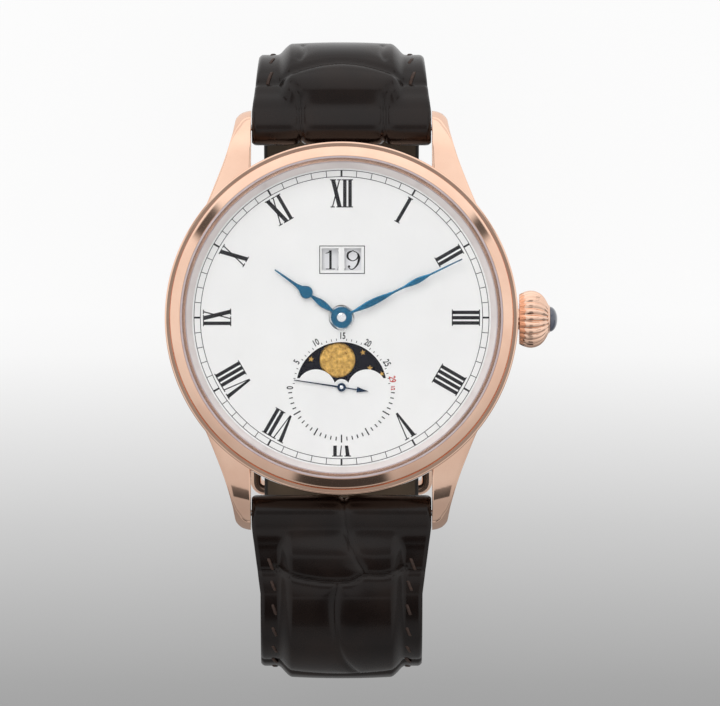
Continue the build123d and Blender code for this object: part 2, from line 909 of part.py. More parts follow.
# Mainspring barrel with its lid, turning on the ratchet wheel's arbor
barrel_rim_radius = train_module * (barrel_teeth / 2 - 2)
with BuildPart() as barrel_drum:
    disc(barrel_rim_radius, barrel_bottom, barrel_top, barrel)
    gear(
        barrel_teeth,
        train_module,
        barrel,
        to_barrel + half_tooth(barrel_teeth),
        barrel_bottom + wheel_thickness,
        barrel_bottom + 3 * wheel_thickness,
    )
    disc(barrel_arbor_radius + running_gap, barrel_bottom, barrel_top, barrel, Mode.SUBTRACT)
export(barrel_drum, "barrel")

ratchet_bottom = bridge_bottom + wheel_thickness
ratchet_top = ratchet_bottom + 2 * wheel_thickness
ratchet_to_crown = heading(barrel, crown_wheel_centre)
with BuildPart() as ratchet_wheel:
    gear(ratchet_teeth, ratchet_module, barrel, ratchet_to_crown, ratchet_bottom, ratchet_top)
    disc(barrel_arbor_radius, ratchet_bottom, plate_bottom + 3 * wheel_thickness, barrel)
export(ratchet_wheel, "ratchet_wheel")

with BuildPart() as crown_wheel:
    gear(
        crown_wheel_teeth,
        ratchet_module,
        crown_wheel_centre,
        ratchet_to_crown + half_tooth(crown_wheel_teeth),
        ratchet_bottom,
        ratchet_top,
    )
    disc(crown_wheel_bore + running_gap, ratchet_bottom, ratchet_top, crown_wheel_centre, Mode.SUBTRACT)
export(crown_wheel, "crown_wheel")

# Winding pinion on the square of the stem, just clear of the crown wheel's face
clutch_tip_radius = stem_height - ratchet_top - face_gap
clutch_module = clutch_tip_radius / (clutch_teeth / 2 + addendum_share)
clutch_start = crown_wheel_centre[0] + ratchet_module * (crown_wheel_teeth / 2 - 2)
with BuildPart() as clutch_wheel:
    extrude(
        teeth_sketch(clutch_teeth, clutch_module, (0, stem_height), 0, Plane.YZ.offset(clutch_start)),
        amount=clutch_length,
    )
    with BuildSketch(Plane.YZ.offset(clutch_start)) as square_hole:
        with Locations((0, stem_height)):
            Rectangle(stem_radius * sqrt(2) + 2 * running_gap, stem_radius * sqrt(2) + 2 * running_gap)
    extrude(square_hole.sketch, amount=clutch_length, mode=Mode.SUBTRACT)
export(clutch_wheel, "clutch_wheel")

# Motion work between the main plate and the calendar plate
motion_gap = running_gap
cannon_bottom = plate_top + motion_gap
minute_wheel_bottom = cannon_bottom
minute_wheel_top = minute_wheel_bottom + wheel_thickness
hour_wheel_bottom = minute_wheel_top + face_gap / 2
hour_wheel_top = hour_wheel_bottom + wheel_thickness / 2
with BuildPart() as cannon_pinion:
    gear(cannon_teeth, minute_module, centre, to_minute, cannon_bottom, minute_wheel_top)
    disc(cannon_radius, cannon_bottom, minute_hand_bottom + hand_thickness)
    disc(arbor_radius, cannon_bottom, minute_hand_bottom, mode=Mode.SUBTRACT)
export(cannon_pinion, "cannon_pinion")

with BuildPart() as minute_wheel:
    gear(
        minute_wheel_teeth,
        minute_module,
        minute_post,
        to_minute + half_tooth(minute_wheel_teeth),
        minute_wheel_bottom,
        minute_wheel_top,
    )
    gear(minute_pinion_teeth, minute_module, minute_post, to_minute, minute_wheel_top, hour_wheel_top)
    disc(post_radius + running_gap, minute_wheel_bottom, hour_wheel_top, minute_post, Mode.SUBTRACT)
export(minute_wheel, "minute_wheel")

with BuildPart() as hour_wheel:
    gear(
        hour_wheel_teeth,
        minute_module,
        centre,
        to_minute + 180 / hour_wheel_teeth,
        hour_wheel_bottom,
        hour_wheel_top,
    )
    disc(hour_pipe_radius, hour_wheel_bottom, hour_hand_bottom + hand_thickness)
    disc(cannon_radius + running_gap, hour_wheel_bottom, hour_hand_bottom + hand_thickness, mode=Mode.SUBTRACT)
export(hour_wheel, "hour_wheel")

# Calendar plate with pillars to the main plate and posts for the printed discs
pillar_circle = movement_radius - 2 * pillar_radius
calendar_post_top = disc_bottom + disc_thickness
with BuildPart() as calendar_plate:
    disc(movement_radius, calendar_bottom, calendar_top)
    for angle in pillar_angles:
        disc(pillar_radius, plate_top, calendar_bottom, along(centre, angle, pillar_circle))
    for post_centre in (subdial, units_post, tens_post):
        disc(disc_post_radius, calendar_top, calendar_post_top, post_centre)
    disc(hour_pipe_radius + running_gap, calendar_bottom, calendar_top, mode=Mode.SUBTRACT)
    disc(pivot_radius + running_gap, calendar_bottom, calendar_post_top, subdial, Mode.SUBTRACT)
export(calendar_plate, "calendar_plate")

# Main plate with its raised rim, pivot holes and the slot for the winding pinion
rim_inner = movement_radius - plate_rim_width
pivot_hole = pivot_radius + running_gap
pivot_centres = (third, subdial, escape, pallet, balance)
with BuildPart() as main_plate:
    disc(movement_radius, plate_bottom, plate_top)
    ring(rim_inner, movement_radius, bridge_top, plate_bottom)
    disc(post_radius, plate_top, hour_wheel_top, minute_post)
    with BuildSketch(Plane.XY.offset(plate_bottom)) as holes:
        Circle(arbor_radius + running_gap)
        with Locations(barrel):
            Circle(barrel_arbor_radius + running_gap)
        with Locations(*pivot_centres):
            Circle(pivot_hole)
    extrude(holes.sketch, amount=plate_top - plate_bottom, mode=Mode.SUBTRACT)
    with BuildSketch(Plane.YZ.offset(clutch_start - clutch_slot_gap)) as clutch_slot:
        with Locations((0, stem_height)):
            Circle(clutch_tip_radius + clutch_slot_gap)
    extrude(clutch_slot.sketch, amount=clutch_length + 2 * clutch_slot_gap, mode=Mode.SUBTRACT)
    with BuildSketch(Plane.YZ.offset(square_end)) as stem_hole:
        with Locations((0, stem_height)):
            Circle(stem_radius + running_gap)
    extrude(stem_hole.sketch, amount=movement_radius, mode=Mode.SUBTRACT)
export(main_plate, "main_plate")

# Bridges on the back of the movement: barrel bridge, train bridge and balance cock
bridge_radius = movement_radius - bridge_inset
screw_circle = bridge_radius - screw_head_radius - running_gap
recess_top = ratchet_top + face_gap / 2
cock_heading = heading(centre, balance)
screw_angles = barrel_bridge_screws + train_bridge_screws + (cock_heading,)
click_centre = along(barrel, click_angle, ratchet_module * ratchet_teeth / 2 + click_offset)
ratchet_tip = ratchet_module * (ratchet_teeth / 2 + addendum_share)
crown_wheel_tip = ratchet_module * (crown_wheel_teeth / 2 + addendum_share)


def bridge_cuts():
    """Cut the screw holes, jewel seats, wheel recesses and winding slot that a bridge may hold."""
    for angle in screw_angles:
        place = along(centre, angle, screw_circle)
        disc(screw_head_radius, bridge_bottom, bridge_bottom + screw_head_height, place, Mode.SUBTRACT)
        disc(screw_shank_radius, bridge_bottom, bridge_top, place, Mode.SUBTRACT)
    for place in (third, subdial, escape, balance):
        disc(jewel_radius, bridge_bottom, bridge_bottom + jewel_thickness, place, Mode.SUBTRACT)
        disc(pivot_hole, bridge_bottom, bridge_top, place, Mode.SUBTRACT)
    disc(ratchet_tip + recess_margin, bridge_bottom, recess_top, barrel, Mode.SUBTRACT)
    with BuildSketch(Plane.XY.offset(bridge_bottom)) as crown_recess:
        with Locations(crown_wheel_centre):
            Circle(crown_wheel_tip + recess_margin)
            Circle(crown_wheel_bore, mode=Mode.SUBTRACT)
    extrude(crown_recess.sketch, amount=recess_top - bridge_bottom, mode=Mode.SUBTRACT)
    disc(barrel_arbor_radius + running_gap, bridge_bottom, bridge_top, barrel, Mode.SUBTRACT)
    disc(arbor_radius + running_gap, pivot_bottom - face_gap, bridge_top, centre, Mode.SUBTRACT)
    with BuildSketch(Plane.XY.offset(bridge_bottom)) as slot:
        with Locations((clutch_start + clutch_length / 2, 0)):
            Rectangle(clutch_length + 2 * clutch_slot_gap, 2 * clutch_tip_radius)
    extrude(slot.sketch, amount=bridge_top - bridge_bottom, mode=Mode.SUBTRACT)


with BuildPart() as barrel_bridge:
    with BuildSketch(Plane.XY.offset(bridge_bottom)) as upper_outline:
        Circle(bridge_radius)
        with Locations((0, bridge_split - bridge_radius)):
            Rectangle(2 * bridge_radius, 2 * bridge_radius, mode=Mode.SUBTRACT)
    extrude(amount=bridge_top - bridge_bottom)
    bridge_cuts()
    disc(click_offset, bridge_bottom, recess_top, click_centre, Mode.SUBTRACT)
    disc(post_radius, bridge_bottom, recess_top, click_centre)
export(barrel_bridge, "barrel_bridge")

with BuildPart() as train_bridge:
    with BuildSketch(Plane.XY.offset(bridge_bottom)) as lower_outline:
        Circle(bridge_radius)
        with Locations((0, bridge_split - bridge_gap + bridge_radius)):
            Rectangle(2 * bridge_radius, 2 * bridge_radius, mode=Mode.SUBTRACT)
        with Locations((train_bridge_left - bridge_radius, 0)):
            Rectangle(2 * bridge_radius, 2 * bridge_radius, mode=Mode.SUBTRACT)
        with Locations(balance):
            Circle(balance_radius + bridge_gap, mode=Mode.SUBTRACT)
    extrude(amount=bridge_top - bridge_bottom)
    bridge_cuts()
export(train_bridge, "train_bridge")

with BuildPart() as balance_cock:
    cock_length = bridge_radius - hypot(*balance)
    cock_plane = Plane(
        origin=(balance[0], balance[1], bridge_bottom),
        x_dir=(cos(radians(cock_heading)), sin(radians(cock_heading)), 0),
        z_dir=(0, 0, 1),
    )
    with BuildSketch(cock_plane) as cock_outline:
        Circle(cock_half_width)
        with Locations((cock_length / 2, 0)):
            Rectangle(cock_length, 2 * cock_half_width)
    with BuildSketch(Plane.XY.offset(bridge_bottom)) as cock_limit:
        Circle(bridge_radius)
    extrude(cock_outline.sketch, amount=bridge_top - bridge_bottom)
    extrude(cock_limit.sketch, amount=bridge_top - bridge_bottom, mode=Mode.INTERSECT)
    bridge_cuts()
export(balance_cock, "balance_cock")

with BuildPart() as jewels:
    for place in (third, subdial, escape, balance):
        ring(pivot_hole, jewel_radius, bridge_bottom, bridge_bottom + jewel_thickness, place)
export(jewels, "jewels")

with BuildPart() as movement_screws:
    for angle in screw_angles:
        place = along(centre, angle, screw_circle)
        disc(screw_head_radius, bridge_bottom, bridge_bottom + screw_head_height, place)
        disc(screw_shank_radius, bridge_bottom + screw_head_height, bridge_top, place)
export(movement_screws, "movement_screws")

# Click that holds the ratchet wheel, rocking on its post
with BuildPart() as click:
    disc(click_offset - 2 * recess_margin, ratchet_bottom, ratchet_top, click_centre)
    disc(post_radius + running_gap, ratchet_bottom, ratchet_top, click_centre, Mode.SUBTRACT)
    disc(ratchet_tip + recess_margin / 2, ratchet_bottom, ratchet_top, barrel, Mode.SUBTRACT)
export(click, "click")

# Balance wheel with its staff and roller, above the pallet fork's level
balance_bottom = bridge_top + 2 * wheel_thickness
balance_top = balance_bottom + 2 * wheel_thickness
with BuildPart() as balance_wheel:
    disc(balance_radius, balance_bottom, balance_top, balance)
    spoke_windows(
        balance,
        3 * pivot_radius,
        balance_radius - balance_rim,
        2 * wheel_thickness,
        balance_bottom,
        balance_top,
    )
    disc(roller_radius, balance_top, balance_top + wheel_thickness, balance)
    disc(pivot_radius, bridge_bottom + jewel_thickness / 2, plate_bottom + 2 * wheel_thickness, balance)
export(balance_wheel, "balance_wheel")

# Hairspring: half turns whose radius grows by half a pitch each time
spring_bottom = bridge_top + face_gap
with BuildPart() as hairspring:
    spring_plane = Plane(origin=(balance[0], balance[1], spring_bottom + spring_width / 2))
    with BuildLine(spring_plane) as spring_line:
        start_x = spring_start_radius
        for index in range(spring_half_turns):
            side = 1 if index % 2 == 0 else -1
            arc_radius = spring_start_radius + index * spring_pitch / 2
            end_x = start_x - side * 2 * arc_radius
            ThreePointArc((start_x, 0), ((start_x + end_x) / 2, side * arc_radius), (end_x, 0))
            start_x = end_x
    with BuildSketch(
        Plane(
            origin=(balance[0] + spring_start_radius, balance[1], spring_bottom + spring_width / 2),
            x_dir=(1, 0, 0),
            z_dir=(0, 1, 0),
        )
    ) as blade_section:
        Rectangle(spring_blade, spring_width)
    sweep(blade_section.sketch, path=spring_line.wire())
    with BuildSketch(Plane.XY.offset(spring_bottom)) as stud:
        with Locations((balance[0] + start_x, balance[1])):
            Circle(2 * spring_blade)
    extrude(stud.sketch, amount=bridge_top - spring_bottom)
    extrude(stud.sketch, amount=spring_width)
export(hairspring, "hairspring")

# Pallet fork between the escape wheel and the balance, and its bridge
pallet_bottom = escape_wheel_bottom
pallet_plane = Plane(
    origin=(pallet[0], pallet[1], pallet_bottom),
    x_dir=(cos(radians(balance_angle)), sin(radians(balance_angle)), 0),
    z_dir=(0, 0, 1),
)
lever_length = balance_reach - pallet_reach - roller_radius
stone_radius = escape_tip_radius + 2 * face_gap
with BuildPart() as pallet_fork:
    with BuildSketch(pallet_plane) as fork_outline:
        with Locations((lever_length / 2, 0)):
            Rectangle(lever_length, 2 * lever_half_width)
        with Locations((lever_length, 0)):
            Rectangle(2 * lever_half_width, 2 * fork_half_width)
        for y_side in (-1, 1):
            stone = along((-pallet_reach, 0), y_side * stone_angle, stone_radius)
            stone_back = along((-pallet_reach, 0), y_side * stone_angle, stone_radius + stone_length)
            with BuildLine():
                Polyline(
                    (0, -y_side * lever_half_width),
                    (stone[0], stone[1] - y_side * stone_half_width),
                    stone,
                    stone_back,
                    (2 * lever_half_width, 0),
                    close=True,
                )
            make_face()
    extrude(amount=wheel_thickness)
    disc(pivot_radius, pallet_bottom - face_gap, plate_bottom + 2 * wheel_thickness, pallet)
export(pallet_fork, "pallet_fork")

pallet_bridge_bottom = balance_top + face_gap
pallet_bridge_top = pallet_bridge_bottom + wheel_thickness
with BuildPart() as pallet_bridge:
    with BuildSketch(pallet_plane.offset(pallet_bridge_bottom - pallet_bottom)) as bar_outline:
        SlotCenterToCenter(2 * pallet_foot_offset, 2 * pallet_foot_radius, rotation=90)
        Circle(pivot_hole, mode=Mode.SUBTRACT)
    extrude(amount=wheel_thickness)
    with BuildSketch(pallet_plane.offset(pallet_bridge_top - pallet_bottom)) as feet:
        with Locations((0, -pallet_foot_offset), (0, pallet_foot_offset)):
            Circle(pallet_foot_radius)
    extrude(feet.sketch, amount=plate_bottom - pallet_bridge_top)
export(pallet_bridge, "pallet_bridge")

# Winding rotor, a half disc with a heavy rim, and the bearing that carries it
rotor_radius = movement_radius - rotor_inset
with BuildPart() as rotor:
    with BuildSketch(Plane.XY.offset(rotor_top - rotor_web_thickness)) as web:
        Circle(rotor_radius)
        with Locations((0, rotor_radius)):
            Rectangle(2 * rotor_radius, 2 * rotor_radius, mode=Mode.SUBTRACT)
        Circle(rotor_hub_radius)
    extrude(amount=rotor_web_thickness)
    with BuildSketch(Plane.XY.offset(rotor_bottom)) as rim:
        Circle(rotor_radius)
        Circle(rotor_radius - rotor_rim_width, mode=Mode.SUBTRACT)
        with Locations((0, rotor_radius)):
            Rectangle(2 * rotor_radius, 2 * rotor_radius, mode=Mode.SUBTRACT)
    extrude(amount=rotor_top - rotor_bottom)
    disc(rotor_bearing_radius + running_gap, rotor_bottom, rotor_top, mode=Mode.SUBTRACT)
export(rotor, "rotor")

with BuildPart() as rotor_bearing:
    disc(rotor_bearing_radius, rotor_top - rotor_web_thickness - face_gap, bridge_bottom)
    flange_bottom = rotor_top - rotor_web_thickness - face_gap - bearing_flange_height
    disc(bearing_flange_radius, flange_bottom, flange_bottom + bearing_flange_height)
export(rotor_bearing, "rotor_bearing")

# Strap. Each half follows a line of straights and arcs in the plane of Y and Z, which is the
# joint between its lining, on the wrist side, and its padded leather, on the outer side.
strap_layer = leather_thickness + lining_thickness + soft_gap
reach_12 = bar_offset + overhang_12
reach_6 = bar_offset + overhang_6
strap_reach_limit = 2 * reach_6
flat_height = curl_height - curl_radius
tail_curl_radius = curl_radius + strap_layer
tail_height = curl_height - tail_curl_radius
layer_overlap = seat_gap
taper_start_y = bar_offset + taper_start
taper_end_y = taper_start_y + taper_length


def yz(point):
    """A point of the plane of Y and Z."""
    return (0, point[0], point[1])


def strap_start(side, bend_centre, bend_radius, bend_angle):
    """Where the strap's line leaves its spring bar, the bend's first point, and the way it heads."""
    first = (
        bend_centre[0] + side * bend_radius * cos(radians(bend_angle)),
        bend_centre[1] + bend_radius * sin(radians(bend_angle)),
    )
    direction = (side * sin(radians(bend_angle)), -cos(radians(bend_angle)))
    return first, direction


def bend(side, bend_centre, bend_radius, start_angle, end_angle):
    """One arc of a strap's line, from one angle above the horizontal to another."""
    points = []
    for angle in (start_angle, (start_angle + end_angle) / 2, end_angle):
        turn = radians(angle)
        points.append(
            yz((bend_centre[0] + side * bend_radius * cos(turn), bend_centre[1] + bend_radius * sin(turn)))
        )
    ThreePointArc(*points)
    return points[0], points[-1]


bend_12_centre = (reach_12 - bend_12_radius, bar_height - bend_12_drop)
line_12_first, line_12_way = strap_start(1, bend_12_centre, bend_12_radius, bend_12_angle)
line_12_start = (
    line_12_first[0] - strap_lead * line_12_way[0],
    line_12_first[1] - strap_lead * line_12_way[1],
)
line_6_way = (-sin(radians(bend_6_angle)), -cos(radians(bend_6_angle)))
line_6_start = (-line_12_start[0], line_12_start[1])
bend_6_y = -(reach_6 - bend_6_radius)
bend_6_first_y = bend_6_y - bend_6_radius * cos(radians(bend_6_angle))
lead_6 = (bend_6_first_y - line_6_start[0]) / line_6_way[0]
bend_6_centre = (
    bend_6_y,
    line_6_start[1] + lead_6 * line_6_way[1] - bend_6_radius * sin(radians(bend_6_angle)),
)
curl_12_centre = (reach_12 - curl_radius, curl_height)
curl_6_centre = (-reach_6 + tail_curl_radius, curl_height)


def strap_plane(side, start, way):
    """The plane across a strap's line, with its y axis pointing away from the wrist."""
    return Plane(origin=(0, start[0], start[1]), x_dir=(-side, 0, 0), z_dir=(0, way[0], way[1]))


def strap_layer_section(plane, inner, outer, width):
    """A flat layer across the strap between two distances from its line."""
    with BuildSketch(plane) as section:
        with Locations((0, (inner + outer) / 2)):
            Rectangle(width, outer - inner)
    return section.sketch


def padding_section(plane, scale=1.0):
    """The padded middle of the strap, flat on top with sloping sides."""
    with BuildSketch(plane) as section:
        with BuildLine():
            Polyline(
                (-padding_width / 2, leather_thickness - layer_overlap),
                (padding_width / 2, leather_thickness - layer_overlap),
                (padding_top_width / 2, leather_thickness + padding_height),
                (-padding_top_width / 2, leather_thickness + padding_height),
                close=True,
            )
        make_face()
    return section.sketch


def taper_keep():
    """The space that a strap half fills: as wide as the lugs at its end, and tapering outwards."""
    with BuildPart() as keep:
        with BuildSketch(Plane.XY.offset(taper_floor)) as plan:
            for side in (-1, 1):
                with BuildLine():
                    Polyline(
                        (-strap_width / 2 + layer_overlap, 0),
                        (strap_width / 2 - layer_overlap, 0),
                        (strap_width / 2 - layer_overlap, side * taper_start_y),
                        (strap_tail_width / 2, side * taper_end_y),
                        (strap_tail_width / 2, side * strap_reach_limit),
                        (-strap_tail_width / 2, side * strap_reach_limit),
                        (-strap_tail_width / 2, side * taper_end_y),
                        (-strap_width / 2 + layer_overlap, side * taper_start_y),
                        close=True,
                    )
                make_face()
        extrude(amount=lug_top - taper_floor)
        with BuildSketch(Plane.XY.offset(taper_floor)) as tail_plan:
            Rectangle(strap_tail_width, 2 * strap_reach_limit)
        extrude(tail_plan.sketch, amount=-2 * strap_reach_limit)
    return keep.part


strap_space = taper_keep()

# Upper half, which ends in a roll round the buckle's bar
flat_end_12 = (buckle_bar_y, flat_height)
with BuildLine() as line_12:
    first, last = bend(1, bend_12_centre, bend_12_radius, bend_12_angle, 0)
    Line(yz(line_12_start), first)
    curl_first, curl_last = bend(1, curl_12_centre, curl_radius, 0, -90)
    Line(last, curl_first)
    Line(curl_last, yz(flat_end_12))
with BuildLine() as padding_line_12:
    first, last = bend(1, bend_12_centre, bend_12_radius, bend_12_angle, 0)
    Line(yz(line_12_start), first)
    curl_first, curl_last = bend(1, curl_12_centre, curl_radius, 0, -padding_sweep_12)
    Line(last, curl_first)
plane_12 = strap_plane(1, line_12_start, line_12_way)

# Lower half, whose tail passes outside the upper half and through both keepers
with BuildLine() as line_6:
    first, last = bend(-1, bend_6_centre, bend_6_radius, bend_6_angle, 0)
    Line(yz(line_6_start), first)
    curl_first, curl_last = bend(-1, curl_6_centre, tail_curl_radius, 0, -90)
    Line(last, curl_first)
    tail_first, tail_last = bend(1, curl_12_centre, tail_curl_radius, -90, tail_sweep - 90)
    Line(curl_last, tail_first)
with BuildLine() as padding_line_6:
    first, last = bend(-1, bend_6_centre, bend_6_radius, bend_6_angle, 0)
    Line(yz(line_6_start), first)
    curl_first, curl_last = bend(-1, curl_6_centre, tail_curl_radius, 0, -padding_sweep_6)
    Line(last, curl_first)
plane_6 = strap_plane(-1, line_6_start, line_6_way)


def cross_rod(radius, place, half_width, mode=Mode.ADD):
    """Add or cut a rod across the strap, such as its rolled end or the bore in that."""
    with BuildSketch(Plane.YZ) as section:
        with Locations(place):
            Circle(radius)
    extrude(section.sketch, amount=half_width, both=True, mode=mode)


def strap_place(distance):
    """A plane on the tail at a distance past the buckle's hole, facing away from the wrist."""
    flat_start = curl_6_centre[0]
    place_y = hole_y + distance
    if place_y < flat_start:
        turn = (place_y - flat_start) / tail_curl_radius
        origin = (curl_6_centre[0] + tail_curl_radius * sin(turn), curl_height - tail_curl_radius * cos(turn))
    elif place_y > curl_12_centre[0]:
        turn = (place_y - curl_12_centre[0]) / tail_curl_radius
        origin = (curl_12_centre[0] + tail_curl_radius * sin(turn), curl_height - tail_curl_radius * cos(turn))
    else:
        turn = 0
        origin = (place_y, tail_height)
    return Plane(origin=yz(origin), x_dir=(1, 0, 0), z_dir=(0, sin(turn), -cos(turn)))


def tail_holes():
    """Cut the row of buckle holes in the layer being built."""
    for index in range(-hole_count_before, hole_count_after + 1):
        with BuildSketch(strap_place(index * hole_pitch)) as hole:
            Rectangle(hole_width, hole_length)
        extrude(hole.sketch, amount=strap_layer, both=True, mode=Mode.SUBTRACT)


def tail_tip():
    """Round the end of the tail in the layer being built."""
    turn = radians(tail_sweep)
    origin = (curl_12_centre[0] + tail_curl_radius * sin(turn), curl_height - tail_curl_radius * cos(turn))
    tip_plane = Plane(origin=yz(origin), x_dir=(1, 0, 0), z_dir=(0, sin(turn), -cos(turn)))
    with BuildSketch(tip_plane) as corners:
        Rectangle(2 * strap_tail_width, strap_tail_width)
        with Locations((0, strap_tail_width / 2)):
            Circle(strap_tail_width / 2, mode=Mode.SUBTRACT)
    extrude(corners.sketch, amount=2 * strap_layer, both=True, mode=Mode.SUBTRACT)


# Buckle: a frame outside the strap's edges, hinged with its tongue on one bar
buckle_bar_place = (buckle_bar_y, tail_height + lining_thickness + soft_gap + buckle_roll_radius)
hole_y = buckle_bar_y - hole_offset
frame_bar_y = buckle_bar_y - frame_reach
frame_drop = sqrt((tail_curl_radius + leather_thickness) ** 2 - min(frame_bar_y - curl_6_centre[0], 0) ** 2)
frame_bar_place = (frame_bar_y, curl_height - frame_drop - soft_gap - frame_bar_radius)
arm_inner = strap_tail_width / 2 + frame_side_gap
arm_outer = arm_inner + frame_arm_thickness
slot_half_width = tongue_width / 2 + soft_gap
bar_places = ((bar_offset, bar_height), (-bar_offset, bar_height))


with BuildPart() as strap_12_leather:
    sweep(strap_layer_section(plane_12, 0, leather_thickness, strap_width), path=line_12.wire())
    sweep(padding_section(plane_12), path=padding_line_12.wire())
    cross_rod(roll_radius, bar_places[0], strap_width / 2)
    cross_rod(buckle_roll_radius, buckle_bar_place, strap_tail_width / 2)
    add(strap_space, mode=Mode.INTERSECT)
    cross_rod(bar_radius + soft_gap / 2, bar_places[0], strap_width, Mode.SUBTRACT)
    cross_rod(buckle_bar_radius + soft_gap / 2, buckle_bar_place, strap_width, Mode.SUBTRACT)
    with BuildSketch(Plane.XY.offset(flat_height)) as tongue_slot:
        with Locations((0, buckle_bar_y)):
            Rectangle(2 * slot_half_width, 2 * buckle_roll_radius + soft_gap)
    extrude(tongue_slot.sketch, amount=2 * roll_radius, both=True, mode=Mode.SUBTRACT)
export(strap_12_leather, "strap_12_leather")

with BuildPart() as strap_12_lining:
    sweep(strap_layer_section(plane_12, -lining_thickness, 0, strap_width), path=line_12.wire())
    add(strap_space, mode=Mode.INTERSECT)
    cross_rod(roll_radius, bar_places[0], strap_width, Mode.SUBTRACT)
    cross_rod(buckle_roll_radius, buckle_bar_place, strap_width, Mode.SUBTRACT)
export(strap_12_lining, "strap_12_lining")

with BuildPart() as strap_6_leather:
    sweep(strap_layer_section(plane_6, 0, leather_thickness, strap_width), path=line_6.wire())
    sweep(padding_section(plane_6), path=padding_line_6.wire())
    cross_rod(roll_radius, bar_places[1], strap_width / 2)
    add(strap_space, mode=Mode.INTERSECT)
    cross_rod(bar_radius + soft_gap / 2, bar_places[1], strap_width, Mode.SUBTRACT)
    tail_holes()
    tail_tip()
export(strap_6_leather, "strap_6_leather")

with BuildPart() as strap_6_lining:
    sweep(strap_layer_section(plane_6, -lining_thickness, 0, strap_width), path=line_6.wire())
    add(strap_space, mode=Mode.INTERSECT)
    cross_rod(roll_radius, bar_places[1], strap_width, Mode.SUBTRACT)
    tail_holes()
    tail_tip()
export(strap_6_lining, "strap_6_lining")

# Keepers: flat bands round both strap halves, on the straight stretch past the buckle
fixed_keeper_y = buckle_bar_y + keeper_start
free_keeper_y = fixed_keeper_y + keeper_pitch
keeper_inner_z = flat_height + lining_thickness + keeper_gap
keeper_outer_z = tail_height - leather_thickness - keeper_gap


def keeper(name, place_y):
    """A closed band of thin leather round both halves."""
    with BuildPart() as band:
        with BuildSketch(Plane.XZ.offset(-place_y - keeper_width / 2)):
            with Locations((0, (keeper_inner_z + keeper_outer_z) / 2)):
                RectangleRounded(
                    strap_tail_width + 2 * keeper_gap + 2 * keeper_wall,
                    keeper_inner_z - keeper_outer_z + 2 * keeper_wall,
                    keeper_wall,
                )
                Rectangle(
                    strap_tail_width + 2 * keeper_gap,
                    keeper_inner_z - keeper_outer_z,
                    mode=Mode.SUBTRACT,
                )
        extrude(amount=keeper_width)
    export(band, name)


keeper("fixed_keeper", fixed_keeper_y)
keeper("free_keeper", free_keeper_y)

with BuildPart() as buckle_frame:
    with BuildSketch(Plane.YZ.offset(arm_inner)) as arm:
        with BuildLine():
            Polyline(
                (buckle_bar_place[0] + frame_arm_height / 2, buckle_bar_place[1] + frame_arm_height / 2),
                (buckle_bar_place[0] + frame_arm_height / 2, buckle_bar_place[1] - frame_arm_height / 2),
                (frame_bar_place[0] + frame_arm_height / 4, frame_bar_place[1] - frame_bar_radius),
                (frame_bar_place[0] - frame_bar_radius, frame_bar_place[1] - frame_bar_radius / 2),
                (frame_bar_place[0] - frame_bar_radius / 2, frame_bar_place[1] + frame_bar_radius),
                (buckle_bar_place[0] - frame_arm_height / 2, buckle_bar_place[1] + frame_arm_height / 2),
                close=True,
            )
        make_face()
    extrude(arm.sketch, amount=frame_arm_thickness)
    mirror(about=Plane.YZ)
    cross_rod(frame_bar_radius, frame_bar_place, arm_outer)
    cross_rod(buckle_bar_radius, buckle_bar_place, arm_outer + frame_arm_thickness, Mode.SUBTRACT)
export(buckle_frame, "buckle_frame")

with BuildPart() as buckle_bar:
    cross_rod(buckle_bar_radius, buckle_bar_place, arm_outer)
export(buckle_bar, "buckle_bar")

# Tongue, from its ring on the bar down through the hole and over the frame's outer bar
tongue_rest_z = frame_bar_place[1] - frame_bar_radius - running_gap
tongue_centre_z = tongue_rest_z - tongue_thickness / 2
tongue_points = (
    buckle_bar_place,
    (hole_y + tongue_bend_start, buckle_bar_place[1] - tongue_thickness / 2),
    (hole_y - tongue_bend_end, frame_bar_place[1] + tongue_bend_rise),
    (frame_bar_place[0] + frame_bar_radius, tongue_centre_z),
    (frame_bar_place[0] - frame_bar_radius, tongue_centre_z),
)
with BuildPart() as buckle_tongue:
    with BuildSketch(Plane.YZ) as tongue_section:
        with BuildLine() as tongue_line:
            Polyline(*tongue_points)
            offset(amount=tongue_thickness / 2, kind=Kind.ARC)
        make_face()
        with Locations(buckle_bar_place):
            Circle(tongue_ring_radius)
            Circle(buckle_bar_radius + running_gap, mode=Mode.SUBTRACT)
    extrude(tongue_section.sketch, amount=tongue_width / 2, both=True)
export(buckle_tongue, "buckle_tongue")
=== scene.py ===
"""Moon phase watch: its detailed pieces and finishes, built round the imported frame.

Sizes are in millimetres until a mesh is made, and every place follows the frame's own pieces:
+Z points out of the dial, +Y to twelve o'clock and +X to the crown.
"""

import json
import math

